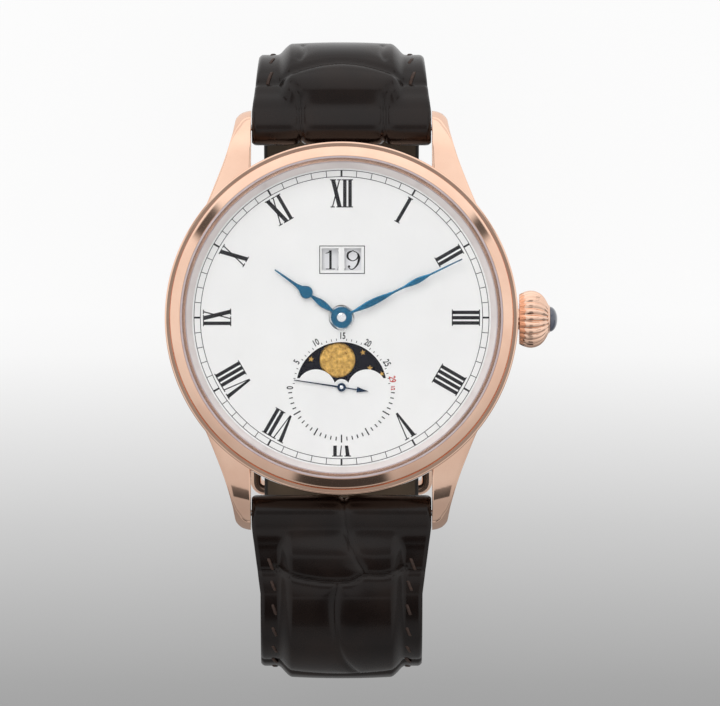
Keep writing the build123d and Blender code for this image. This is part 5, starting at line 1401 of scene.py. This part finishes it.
# Inner and outer radius and width of the small seconds' marks
FIVE_MARK, SECOND_MARK = (5.2, 6.06, 0.14), (5.45, 5.87, 0.12)
MOON_DAY_FOOT, MOON_DAY_TURN, MOON_TEXT_FOOT = 5.14, 6.1, 5.62
MOON_SCALE = (("0", -90.5), ("5", -60.4), ("10", -30.0), ("15", 1.0), ("20", 30.8), ("25", 61.8))
WINDOW_Y, TENS_X, UNITS_X = 6.35, -1.23, 1.26
DIGIT_SIZE = 1.04


def clip_below(outline, limit):
    """The part of a convex outline that lies above a height."""
    outline = [np.asarray(point, float) for point in outline]
    kept = []
    for a, b in zip(outline, outline[1:] + outline[:1]):
        if a[1] >= limit:
            kept.append(a)
        if (a[1] - limit) * (b[1] - limit) < 0:
            kept.append(a + (b - a) * (limit - a[1]) / (b[1] - a[1]))
    return kept


def bar(start, end, width_start, width_end=None):
    """A straight stroke with level ends between two heights."""
    width_end = width_start if width_end is None else width_end
    return [
        (start[0] - width_start / 2, start[1]),
        (start[0] + width_start / 2, start[1]),
        (end[0] + width_end / 2, end[1]),
        (end[0] - width_end / 2, end[1]),
    ]


def roman_letter(letter, left, height):
    """Outlines of a narrow slab-serif letter and its width."""
    slab = 0.11
    thick = 0.4
    thin = 0.13
    if letter == "I":
        middle = left + 0.3
        strokes = [bar((middle, slab), (middle, height - slab), thick - 0.02)]
        slabs = [(middle, 0, 0.64), (middle, 1, 0.64)]
        width = 0.58
    elif letter == "V":
        top_left, top_right, foot = left + 0.3, left + 1.13, left + 0.72
        strokes = [
            bar((foot - 0.02, 0), (top_left, height - slab), 0.22, thick + 0.03),
            bar((foot + 0.05, 0), (top_right, height - slab), 0.1, thin),
        ]
        slabs = [(top_left, 1, 0.7), (top_right, 1, 0.5)]
        width = 1.4
    else:
        low_left, low_right, top_left, top_right = left + 0.25, left + 1.0, left + 0.3, left + 0.98
        strokes = [
            bar((low_right, slab), (top_left, height - slab), thick + 0.05),
            bar((low_left, slab), (top_right, height - slab), thin),
        ]
        slabs = [(low_right, 0, 0.68), (low_left, 0, 0.46), (top_left, 1, 0.68), (top_right, 1, 0.46)]
        width = 1.28
    for middle, top, span in slabs:
        base = (height - slab) * top
        strokes.append(bar((middle, base), (middle, base + slab), span))
    return strokes, width


def roman_numeral(text, height, cut=0.0):
    """Outlines of a numeral set round x zero, feet at y zero, with what lies below a cut left off."""
    strokes = []
    left = 0.0
    for letter in text:
        more, width = roman_letter(letter, left, height)
        strokes.extend(more)
        left += width
    placed = []
    for outline in strokes:
        if cut:
            outline = clip_below(outline, cut)
        if len(outline) > 2:
            placed.append([(x - left / 2, y) for x, y in outline])
    return placed


def build_dial_prints(finishes):
    """Minute track, hour numerals, window frame and sub-dial scale, printed proud of the dial."""
    outlines = []
    for inner, outer in TRACK_RINGS:
        outlines += ring_outlines(np.zeros(2), inner, outer)
    for minute in range(60):
        stroke = bar((0, 0), (0, MINUTE_LENGTH), MINUTE_WIDTH if minute % 5 else HOUR_WIDTH)
        outlines.append(clock_place(stroke, minute * 6, MINUTE_FOOT))
    for hour, name in enumerate(NUMERALS):
        cut, foot = (CUT_HEIGHT, CUT_FOOT) if name == CUT_NUMERAL else (0.0, NUMERAL_FOOT)
        for outline in roman_numeral(name, NUMERAL_HEIGHT, cut):
            outlines.append(clock_place(outline, hour * 30, foot))
    (left, right), (bottom, top) = FRAME_X, FRAME_Y
    sills = (bottom + FRAME_LINE, top - FRAME_LINE)
    for x, y in (
        (FRAME_X, (bottom, sills[0])), (FRAME_X, (sills[1], top)),
        ((left, left + FRAME_LINE), sills), ((right - FRAME_LINE, right), sills),
    ):
        outlines.append([(x[0], y[0]), (x[1], y[0]), (x[1], y[1]), (x[0], y[1])])
    for second in range(16, 45):
        inner, outer, width = SECOND_MARK if second % 5 else FIVE_MARK
        stroke = bar((0, 0), (0, outer - inner), width)
        outlines.append(clock_place(stroke, second * 6, inner, SUBDIAL))
    for day in range(1, 30):
        if day % 5:
            stroke = bar((0, 0), (0, 0.22), MINUTE_WIDTH)
            outlines.append(clock_place(stroke, (day - 15) * MOON_DAY_TURN, MOON_DAY_FOOT, SUBDIAL))
    print_piece("dial_print", outlines, finishes["ink"], "case", DIAL_TOP, PRINT)
    for text, angle in MOON_SCALE:
        small_text("moon_scale_" + text, text, angle, finishes["ink"])
    small_text("moon_scale_29", "29", 81.0, finishes["red_ink"])
    small_text("moon_scale_half", "1/2", 90.6, finishes["red_ink"], 0.46)


def small_text(name, text, clock_angle, finish, size=0.8):
    """A narrow number of the moon scale, with its feet towards the sub-dial's centre."""
    curve_data = bpy.data.curves.new(name, "FONT")
    curve_data.body = text
    curve_data.size = size * 1.25
    curve_data.align_x = "CENTER"
    curve_data.align_y = "CENTER"
    curve_data.resolution_u = 3
    curve_data.extrude = PRINT / 2
    curve_data.offset = 0.022
    draft = bpy.data.objects.new(name + "_draft", curve_data)
    bpy.context.scene.collection.objects.link(draft)
    bpy.context.view_layer.update()
    mesh = bpy.data.meshes.new_from_object(draft.evaluated_get(bpy.context.evaluated_depsgraph_get()))
    bpy.data.objects.remove(draft)
    bpy.data.curves.remove(curve_data)
    count = len(mesh.vertices)
    points = np.zeros(count * 3)
    mesh.vertices.foreach_get("co", points)
    points = points.reshape(-1, 3)
    flat = clock_place(points[:, :2] * (0.72, 1.0), clock_angle, MOON_TEXT_FOOT, SUBDIAL)
    placed = np.concatenate((flat, points[:, 2:] + DIAL_TOP + PRINT / 2), 1) * MM
    mesh.vertices.foreach_set("co", placed.ravel())
    mesh.materials.clear()
    mesh.materials.append(finish)
    mesh.name = name
    mesh.update()
    piece = bpy.data.objects.new(name, mesh)
    bpy.context.scene.collection.objects.link(piece)
    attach(piece, "case")


def brush_stroke(points, widths, count=10):
    """Quads along a smooth line whose width changes from point to point."""
    line = curve(points, count)
    place = np.linspace(0, len(points) - 1, len(line))
    width = np.interp(place, np.arange(len(points)), widths)
    way = np.gradient(line, axis=0)
    way /= np.linalg.norm(way, axis=1)[:, None]
    side = np.stack((-way[:, 1], way[:, 0]), -1) * width[:, None] / 2
    a, b = line + side, line - side
    return [[a[i], b[i], b[i + 1], a[i + 1]] for i in range(len(line) - 1)]


def ball(x, y, radius):
    """A round dot."""
    angle = np.linspace(0, TAU, 16, endpoint=False)
    return np.stack((x + radius * np.cos(angle), y + radius * np.sin(angle)), -1)


# Date digits in a box one wide and two high, centred on zero. A stroke is a smooth line and
# its width at each of the line's points; a bar is its two ends and its width; a dot is its
# centre and its radius.
DIGIT_STROKES = {
    0: [([(0.0, 0.98), (-0.46, 0.7), (-0.6, 0.0), (-0.46, -0.7), (0.0, -0.98),
          (0.46, -0.7), (0.6, 0.0), (0.46, 0.7), (0.0, 0.98)],
         [0.08, 0.16, 0.24, 0.16, 0.08, 0.16, 0.24, 0.16, 0.08])],
    1: [([(0.02, 0.98), (-0.2, 0.78), (-0.5, 0.7)], [0.14, 0.1, 0.06])],
    2: [([(-0.5, 0.5), (-0.35, 0.85), (0.05, 0.97), (0.46, 0.72), (0.42, 0.3), (-0.1, -0.4), (-0.55, -0.9)],
         [0.14, 0.1, 0.08, 0.22, 0.24, 0.1, 0.08]),
        ([(-0.55, -0.9), (-0.1, -0.84), (0.3, -0.92), (0.6, -0.6)], [0.12, 0.18, 0.2, 0.06])],
    3: [([(-0.5, 0.6), (-0.3, 0.9), (0.05, 0.97), (0.42, 0.72), (0.38, 0.32), (0.0, 0.1)],
         [0.12, 0.08, 0.08, 0.2, 0.16, 0.07]),
        ([(0.0, 0.1), (0.42, 0.0), (0.58, -0.42), (0.4, -0.85), (-0.05, -0.98), (-0.52, -0.7)],
         [0.07, 0.16, 0.25, 0.18, 0.08, 0.12])],
    4: [([(0.2, 0.95), (-0.2, 0.3), (-0.62, -0.37)], [0.08, 0.09, 0.09])],
    5: [([(-0.36, 0.08), (0.05, 0.26), (0.5, 0.0), (0.58, -0.42),
          (0.35, -0.85), (-0.05, -0.98), (-0.5, -0.7)],
         [0.07, 0.1, 0.2, 0.25, 0.18, 0.08, 0.12])],
    7: [([(0.56, 0.9), (0.15, 0.2), (-0.05, -0.4), (-0.08, -0.98)], [0.1, 0.12, 0.2, 0.3])],
    8: [([(0.0, 0.98), (-0.38, 0.78), (-0.36, 0.4), (0.0, 0.12), (0.36, 0.4), (0.38, 0.78), (0.0, 0.98)],
         [0.08, 0.2, 0.2, 0.12, 0.14, 0.16, 0.08]),
        ([(0.0, 0.12), (-0.5, -0.2), (-0.5, -0.75), (0.0, -0.98), (0.5, -0.75), (0.5, -0.2), (0.0, 0.12)],
         [0.1, 0.18, 0.18, 0.08, 0.24, 0.24, 0.1])],
    9: [([(0.0, 0.98), (-0.5, 0.72), (-0.54, 0.22), (-0.05, -0.1), (0.44, 0.16), (0.5, 0.66), (0.0, 0.98)],
         [0.08, 0.22, 0.2, 0.08, 0.12, 0.12, 0.08]),
        ([(0.5, 0.7), (0.64, 0.2), (0.48, -0.45), (0.1, -0.9), (-0.24, -0.98), (-0.5, -0.72)],
         [0.16, 0.26, 0.2, 0.1, 0.08, 0.12])],
}
DIGIT_BARS = {
    1: [((0.02, -0.92), (0.02, 1.0), 0.25), ((0.02, -1.0), (0.02, -0.91), 0.98)],
    4: [((0.22, -0.92), (0.22, 1.0), 0.24), ((0.22, -1.0), (0.22, -0.91), 0.66),
        ((-0.03, -0.42), (-0.03, -0.32), 1.26)],
    5: [((-0.36, 0.05), (-0.36, 0.98), 0.08)],
    7: [((0.025, 0.8), (0.025, 1.0), 1.15), ((-0.52, 0.6), (-0.52, 1.0), 0.07)],
}
DIGIT_DOTS = {
    2: [(-0.44, 0.5, 0.13)],
    3: [(-0.42, 0.58, 0.12), (-0.44, -0.66, 0.13)],
    5: [(-0.44, -0.66, 0.13)],
    9: [(-0.42, -0.7, 0.13)],
}
FIVE_FLAG = [(-0.4, 0.8), (0.44, 0.8), (0.5, 1.0), (-0.4, 0.98)]


def date_digit(digit):
    """Outlines of an old-style serif digit. A six is a nine turned half round."""
    if digit == 6:
        return [[(-x, -y) for x, y in outline] for outline in date_digit(9)]
    outlines = [bar(*ends_and_width) for ends_and_width in DIGIT_BARS.get(digit, ())]
    for line, widths in DIGIT_STROKES[digit]:
        outlines += brush_stroke(line, widths)
    if digit == 5:
        outlines.append(FIVE_FLAG)
    return outlines + [ball(*dot) for dot in DIGIT_DOTS.get(digit, ())]


def build_date_prints(finishes):
    """The digits of both date discs; each is upright where its disc shows it in the window."""
    for node, body, digits, window_x in (
        ("date_tens_disc", "date_tens", (1, 2, 3, 0), TENS_X),
        ("date_units_disc", "date_units", (9, 8, 7, 6, 5, 4, 3, 2, 1, 0), UNITS_X),
    ):
        post = (low(node)[:2] + high(node)[:2]) / 2
        shown = np.array((window_x, WINDOW_Y))
        outlines = []
        for index, digit in enumerate(digits):
            turn = math.radians(index * 360 / len(digits))
            spin = np.array(((math.cos(turn), -math.sin(turn)), (math.sin(turn), math.cos(turn))))
            for outline in date_digit(digit):
                placed = np.asarray(outline, float) * DIGIT_SIZE + shown - post
                outlines.append(placed @ spin.T + post)
        print_piece(body + "_digits", outlines, finishes["ink"], body, high(node)[2], PRINT)


def star_outline(x, y, size, turn):
    """A five-pointed star."""
    angle = math.radians(turn) + np.arange(10) * math.pi / 5
    radius = np.where(np.arange(10) % 2 == 0, size, size * STAR_WAIST)
    return np.stack((x + radius * np.sin(angle), y + radius * np.cos(angle)), -1)


# A moon's radius, its distance from the disc's middle, its dome's rise and its sides
MOON_RADIUS, MOON_PATH, MOON_RISE, MOON_SIDES = 1.96, 3.06, 0.045, 72
# The first moon's stars by place, size and turn. Each has a second one across the disc.
STARS = ((-3.33, -4.53, 0.33, 10), (2.34, -3.81, 0.33, -8), (3.1, -5.51, 0.34, 4), (4.42, -6.15, 0.3, -20))
STAR_MIDDLE, STAR_WAIST, STAR_HEIGHT = -7.65, 0.42, 0.03


def build_moon(finishes, settings):
    """Two gold moons and their stars on the night disc, the first near the opening's middle."""
    parts = []
    shares = np.linspace(0, 1, 9)[1:]
    profile = np.stack((MOON_RADIUS * shares, MOON_TOP + PRINT + MOON_RISE * (1 - shares**2)), -1)
    columns = len(shares)
    quads = strip_faces(MOON_SIDES, columns, True, False)[:, ::-1].tolist()
    top = MOON_SIDES * columns
    for turn in (0.0, math.pi):
        way = turn + settings.moon_turn
        centre = SUBDIAL + MOON_PATH * np.array((math.sin(way), math.cos(way)))
        dome = lathe_points(profile, MOON_SIDES, centre)
        crest = [(*centre, MOON_TOP + PRINT + MOON_RISE)]
        rim = lathe_points([(MOON_RADIUS, MOON_TOP)], MOON_SIDES, centre)
        faces = list(quads)
        for i in range(MOON_SIDES):
            j = (i + 1) % MOON_SIDES
            here, there = i * columns, j * columns
            faces.append([top, here, there])
            faces.append([here + columns - 1, top + 1 + i, top + 1 + j, there + columns - 1])
        faces.append([top + 1 + i for i in range(MOON_SIDES)][::-1])
        parts.append((np.concatenate((dome, crest, rim)), faces))
    domes, faces = join_parts(parts)
    make_piece("moons", domes, faces, finishes["moon_gold"], "moon")
    stars = []
    for x, y, size, turn in STARS:
        stars.append(star_outline(x, y, size, turn))
        stars.append(star_outline(-x, 2 * STAR_MIDDLE - y, size, turn + 180))
    print_piece("stars", stars, finishes["moon_gold"], "moon", MOON_TOP, STAR_HEIGHT)


# Stage

# The sky's dark strips: middles and half widths in degrees, their light, the degrees of their
# soft border, and the heights past which they fade
DARK_STRIPS = ((142.5, 6.0), (35.0, 4.0), (-90.0, 17.0))
STRIP_LIGHT, STRIP_BLUR, STRIP_HEIGHTS = 0.1, 2.0, ((0.80, 0.85), (0.42, 0.36))
# Heights where the sky dims overhead and its light there, and greys by the direction along Y
ZENITH_START, ZENITH_END, ZENITH_LIGHT = 0.955, 0.985, 0.35
SKY_STRENGTH = 1.3
SKY = (
    (0.0, 0.34), (0.08, 0.42), (0.22, 0.48), (0.35, 0.62), (0.5, 0.76), (0.66, 0.77), (0.85, 0.9), (1.0, 1.0),
)
# Floor greys by the place along Y in metres, a painted shade that greys the floor towards the viewer, and the
# share of them that glows by itself
FLOOR_SHADE_GREYS = (
    (-0.0500, 0.335), (-0.0405, 0.405), (-0.0315, 0.51), (-0.0220, 0.635), (-0.0130, 0.785),
    (-0.002, 0.97), (0.003, 1.0),
)
FLOOR_GLOW, FLOOR_REACH, FLOOR_GAP = 0.85, 1.5, 0.0003
CAMERA_TILT, CAMERA_DISTANCE, CAMERA_AIM = math.radians(2.2), 0.9, 0.0095
CAMERA_LENS, CAMERA_SENSOR, CAMERA_SHIFT = 408.6, 36.0, (0.0257, -0.0492)
LAMP_PLACE, LAMP_TURN, LAMP_SIZE = (-0.22, 0.52, 0.45), (-48, -15, 0), 0.45


def ramp_node(tree, stops, value):
    """A ramp of greys at given positions, driven by a socket."""
    ramp = add_node(tree, "ShaderNodeValToRGB")
    elements = ramp.color_ramp.elements
    elements[0].position, elements[1].position = stops[0][0], stops[-1][0]
    for element, stop in ((elements[0], stops[0]), (elements[1], stops[-1])):
        element.color = (stop[1], stop[1], stop[1], 1)
    for position, grey in stops[1:-1]:
        elements.new(position).color = (grey, grey, grey, 1)
    tree.links.new(value, ramp.inputs[0])
    return ramp.outputs[0]


def build_world(settings):
    """Even light for all dull surfaces, and for reflections a sky that darkens towards the wrist.

    Three soft dark strips stand in it, whose reflections the bezel shows in the photograph.
    """
    world = bpy.data.worlds.new("studio")
    bpy.context.scene.world = world
    world.use_nodes = True
    world.cycles.sampling_method = "NONE"
    tree = world.node_tree
    even = tree.nodes["Background"]
    even.inputs["Color"].default_value = (1.0, 1.0, 1.0, 1)
    even.inputs["Strength"].default_value = settings.even_light
    way = add_node(tree, "ShaderNodeTexCoord").outputs["Generated"]
    parts = add_node(tree, "ShaderNodeSeparateXYZ", {0: way}).outputs
    sky = ramp_node(tree, SKY, math_node(tree, "MULTIPLY_ADD", parts[1], 0.5))
    azimuth = math_node(tree, "ARCTAN2", parts[1], parts[0])
    light = None
    for middle, half in DARK_STRIPS:
        away = math_node(tree, "ABSOLUTE", math_node(tree, "SUBTRACT", azimuth, math.radians(middle)))
        start, end = math.radians(half - STRIP_BLUR), math.radians(half + STRIP_BLUR)
        edge = smooth_step(tree, away, start, end, STRIP_LIGHT)
        light = edge if light is None else math_node(tree, "MULTIPLY", light, edge)
    for start, end in STRIP_HEIGHTS:
        light = math_node(tree, "MAXIMUM", light, smooth_step(tree, parts[2], start, end))
    zenith = smooth_step(tree, parts[2], ZENITH_START, ZENITH_END, 1.0, ZENITH_LIGHT)
    light = math_node(tree, "MULTIPLY", math_node(tree, "MULTIPLY", light, zenith), SKY_STRENGTH)
    studio = add_node(tree, "ShaderNodeBackground", {"Color": sky, "Strength": light})
    white = add_node(tree, "ShaderNodeBackground", {"Color": (1, 1, 1, 1)})
    glossy = seen_ray(tree, "Is Glossy Ray")
    direct = seen_ray(tree, "Is Camera Ray", "Is Transmission Ray")
    lit = mix_shaders(tree, glossy, even.outputs[0], studio.outputs[0])
    result = mix_shaders(tree, direct, lit, white.outputs[0])
    tree.links.new(result, tree.nodes["World Output"].inputs[0])


def build_floor():
    """A pale floor under the strap, white above and greyer towards the viewer as photographed; the grey is
    painted shade.
    """
    height = CAD_BOX[0][2] - FLOOR_GAP
    mesh = bpy.data.meshes.new("floor")
    ends = (-FLOOR_REACH, FLOOR_REACH)
    corners = [(ends[i], ends[j], height) for i, j in ((0, 0), (1, 0), (1, 1), (0, 1))]
    mesh.from_pydata(corners, [], [(0, 1, 2, 3)])
    floor = bpy.data.objects.new("floor", mesh)
    bpy.context.scene.collection.objects.link(floor)
    material, tree, shader = new_material("floor")
    parts = add_node(tree, "ShaderNodeSeparateXYZ", {0: object_place(tree)})
    lowest, highest = FLOOR_SHADE_GREYS[0][0], FLOOR_SHADE_GREYS[-1][0]
    share = math_node(tree, "DIVIDE", math_node(tree, "SUBTRACT", parts.outputs[1], lowest), highest - lowest)
    stops = [((y - lowest) / (highest - lowest), grey) for y, grey in FLOOR_SHADE_GREYS]
    # Painted shade: the floor's colour runs from white at the back to grey towards the viewer
    tone = ramp_node(tree, stops, share)
    feed(tree, shader, {"Base Color": tone, "Roughness": 0.9})
    glow = add_node(tree, "ShaderNodeEmission", {"Color": tone})
    seen = seen_ray(tree, "Is Camera Ray", "Is Glossy Ray", "Is Transmission Ray")
    seen = math_node(tree, "MULTIPLY", seen, FLOOR_GLOW)
    lit = mix_shaders(tree, seen, shader.outputs[0], glow.outputs[0])
    clear = add_node(tree, "ShaderNodeBsdfTransparent")
    below = add_node(tree, "ShaderNodeNewGeometry").outputs["Backfacing"]
    result = mix_shaders(tree, below, lit, clear.outputs[0])
    tree.links.new(result, tree.nodes["Material Output"].inputs[0])
    mesh.materials.append(material)


def build_stage(settings):
    """Camera, floor, world and one large soft lamp."""
    scene = bpy.context.scene
    scene.view_settings.view_transform = "Standard"
    data = bpy.data.cameras.new("camera")
    camera = bpy.data.objects.new("camera", data)
    scene.collection.objects.link(camera)
    data.lens = CAMERA_LENS
    data.sensor_width = CAMERA_SENSOR
    data.shift_x, data.shift_y = CAMERA_SHIFT
    data.clip_end = 5.0
    back, up = CAMERA_DISTANCE * math.sin(CAMERA_TILT), CAMERA_DISTANCE * math.cos(CAMERA_TILT)
    camera.location = (0.0, -back, CAMERA_AIM + up)
    camera.rotation_euler = (CAMERA_TILT, 0.0, 0.0)
    scene.camera = camera
    build_world(settings)
    build_floor()
    key = bpy.data.lights.new("key", "AREA")
    key.energy = settings.lamp_power
    key.size = LAMP_SIZE
    light = bpy.data.objects.new("key", key)
    light.location = LAMP_PLACE
    light.rotation_euler = [math.radians(angle) for angle in LAMP_TURN]
    light.visible_glossy = False
    scene.collection.objects.link(light)


# Settings, operators and panel

class WatchPieceSettings(bpy.types.PropertyGroup):
    """Sizes of the pieces that can be varied."""

    padding: bpy.props.FloatProperty(
        name="Padding", description="Height of the strap's padded middle",
        default=0.0012, min=0.0, max=0.0013, subtype="DISTANCE", unit="LENGTH", precision=4,
    )
    stitch_pitch: bpy.props.FloatProperty(
        name="Stitch pitch", description="Distance from one strap stitch to the next",
        default=0.0026, min=0.0018, max=0.006, subtype="DISTANCE", unit="LENGTH", precision=4,
    )
    flutes: bpy.props.IntProperty(
        name="Crown flutes", description="Number of ribs round the crown", default=24, min=8, max=40
    )
    moon_turn: bpy.props.FloatProperty(
        name="Moon turn", description="Turn of the printed moon from the opening's middle",
        default=math.radians(-8.5), subtype="ANGLE", unit="ROTATION",
    )


class WatchColourSettings(bpy.types.PropertyGroup):
    """Colours of the finishes that can be varied."""

    gold: bpy.props.FloatVectorProperty(
        name="Case gold", description="Colour of the case, the crown and the buckle",
        default=(0.93, 0.64, 0.49), min=0.0, max=1.0, subtype="COLOR",
    )
    blue: bpy.props.FloatVectorProperty(
        name="Hands", description="Colour of the blued hour and minute hands",
        default=(0.010, 0.15, 0.28), min=0.0, max=1.0, subtype="COLOR",
    )
    leather: bpy.props.FloatVectorProperty(
        name="Leather", description="Lightest colour of the strap's leather",
        default=(0.013, 0.0065, 0.0045), min=0.0, max=1.0, subtype="COLOR",
    )


class WatchStageSettings(bpy.types.PropertyGroup):
    """Light of the studio."""

    even_light: bpy.props.FloatProperty(
        name="Even light", description="Strength of the light from all round", default=0.72, min=0.0, max=2.0,
        subtype="FACTOR",
    )
    lamp_power: bpy.props.FloatProperty(
        name="Lamp power", description="Power of the soft lamp", default=1.3, min=0.0, max=20.0, unit="POWER"
    )


class WATCH_OT_finishes(bpy.types.Operator):
    """Make every material and give the frame's pieces theirs"""

    bl_idname = "watch.finishes"
    bl_label = "Make finishes"

    def execute(self, context):
        make_materials(context.scene.watch_colours)
        finish_frame(FINISHES)
        return {"FINISHED"}


class WATCH_OT_case(bpy.types.Operator):
    """Build the case middle with its lugs, the bezel and the crystal"""

    bl_idname = "watch.case"
    bl_label = "Build case"

    def execute(self, context):
        build_case(FINISHES)
        build_bezel(FINISHES)
        build_crystal(FINISHES)
        return {"FINISHED"}


class WATCH_OT_crown(bpy.types.Operator):
    """Build the fluted crown and its cabochon"""

    bl_idname = "watch.crown"
    bl_label = "Build crown"

    def execute(self, context):
        build_crown(FINISHES, context.scene.watch_pieces)
        return {"FINISHED"}


class WATCH_OT_hands(bpy.types.Operator):
    """Build the three hands and their caps"""

    bl_idname = "watch.hands"
    bl_label = "Build hands"

    def execute(self, context):
        build_hands(FINISHES)
        return {"FINISHED"}


class WATCH_OT_dial_prints(bpy.types.Operator):
    """Print the minute track, the numerals, the window's frame and the moon scale"""

    bl_idname = "watch.dial_prints"
    bl_label = "Print dial"

    def execute(self, context):
        build_dial_prints(FINISHES)
        return {"FINISHED"}


class WATCH_OT_date_prints(bpy.types.Operator):
    """Print the digits of both date discs"""

    bl_idname = "watch.date_prints"
    bl_label = "Print date discs"

    def execute(self, context):
        build_date_prints(FINISHES)
        return {"FINISHED"}


class WATCH_OT_moon(bpy.types.Operator):
    """Build the gold moons and stars on the night disc"""

    bl_idname = "watch.moon"
    bl_label = "Build moon and stars"

    def execute(self, context):
        build_moon(FINISHES, context.scene.watch_pieces)
        return {"FINISHED"}


class WATCH_OT_strap(bpy.types.Operator):
    """Build the embossed strap halves, their linings and stitches"""

    bl_idname = "watch.strap"
    bl_label = "Build strap"

    def execute(self, context):
        build_strap(FINISHES, context.scene.watch_pieces)
        return {"FINISHED"}


class WATCH_OT_buckle(bpy.types.Operator):
    """Build the keepers, the buckle's bow and its tongue"""

    bl_idname = "watch.buckle"
    bl_label = "Build buckle and keepers"

    def execute(self, context):
        build_keepers(FINISHES)
        build_buckle(FINISHES)
        return {"FINISHED"}


class WATCH_OT_stage(bpy.types.Operator):
    """Set up the camera, the floor, the world and the lamp"""

    bl_idname = "watch.stage"
    bl_label = "Set up stage"

    def execute(self, context):
        build_stage(context.scene.watch_stage)
        return {"FINISHED"}


class WATCH_PT_panel(bpy.types.Panel):
    """Settings and steps of the moon phase watch"""

    bl_idname = "WATCH_PT_panel"
    bl_label = "Moon phase watch"
    bl_space_type = "VIEW_3D"
    bl_region_type = "UI"
    bl_category = "Watch"

    def draw(self, context):
        layout = self.layout
        for name in ("padding", "stitch_pitch", "flutes", "moon_turn"):
            layout.prop(context.scene.watch_pieces, name)
        for name in ("gold", "blue", "leather"):
            layout.prop(context.scene.watch_colours, name)
        for name in ("even_light", "lamp_power"):
            layout.prop(context.scene.watch_stage, name)
        for operator in OPERATORS:
            layout.operator(operator.bl_idname)


# The steps in the order that they run in
OPERATORS = (
    WATCH_OT_finishes, WATCH_OT_case, WATCH_OT_crown, WATCH_OT_hands, WATCH_OT_dial_prints,
    WATCH_OT_date_prints, WATCH_OT_moon, WATCH_OT_strap, WATCH_OT_buckle, WATCH_OT_stage,
)
CLASSES = (WatchPieceSettings, WatchColourSettings, WatchStageSettings, *OPERATORS, WATCH_PT_panel)


def register():
    """Register every class and put the settings on the scene."""
    for item in CLASSES:
        bpy.utils.register_class(item)
    bpy.types.Scene.watch_pieces = bpy.props.PointerProperty(type=WatchPieceSettings)
    bpy.types.Scene.watch_colours = bpy.props.PointerProperty(type=WatchColourSettings)
    bpy.types.Scene.watch_stage = bpy.props.PointerProperty(type=WatchStageSettings)


def unregister():
    """Take the settings off the scene and unregister every class."""
    del bpy.types.Scene.watch_stage
    del bpy.types.Scene.watch_colours
    del bpy.types.Scene.watch_pieces
    for item in reversed(CLASSES):
        bpy.utils.unregister_class(item)


def main():
    """Build every piece and the stage."""
    register()
    for operator in OPERATORS:
        getattr(bpy.ops.watch, operator.bl_idname.removeprefix("watch."))()


if __name__ == "__main__":
    main()
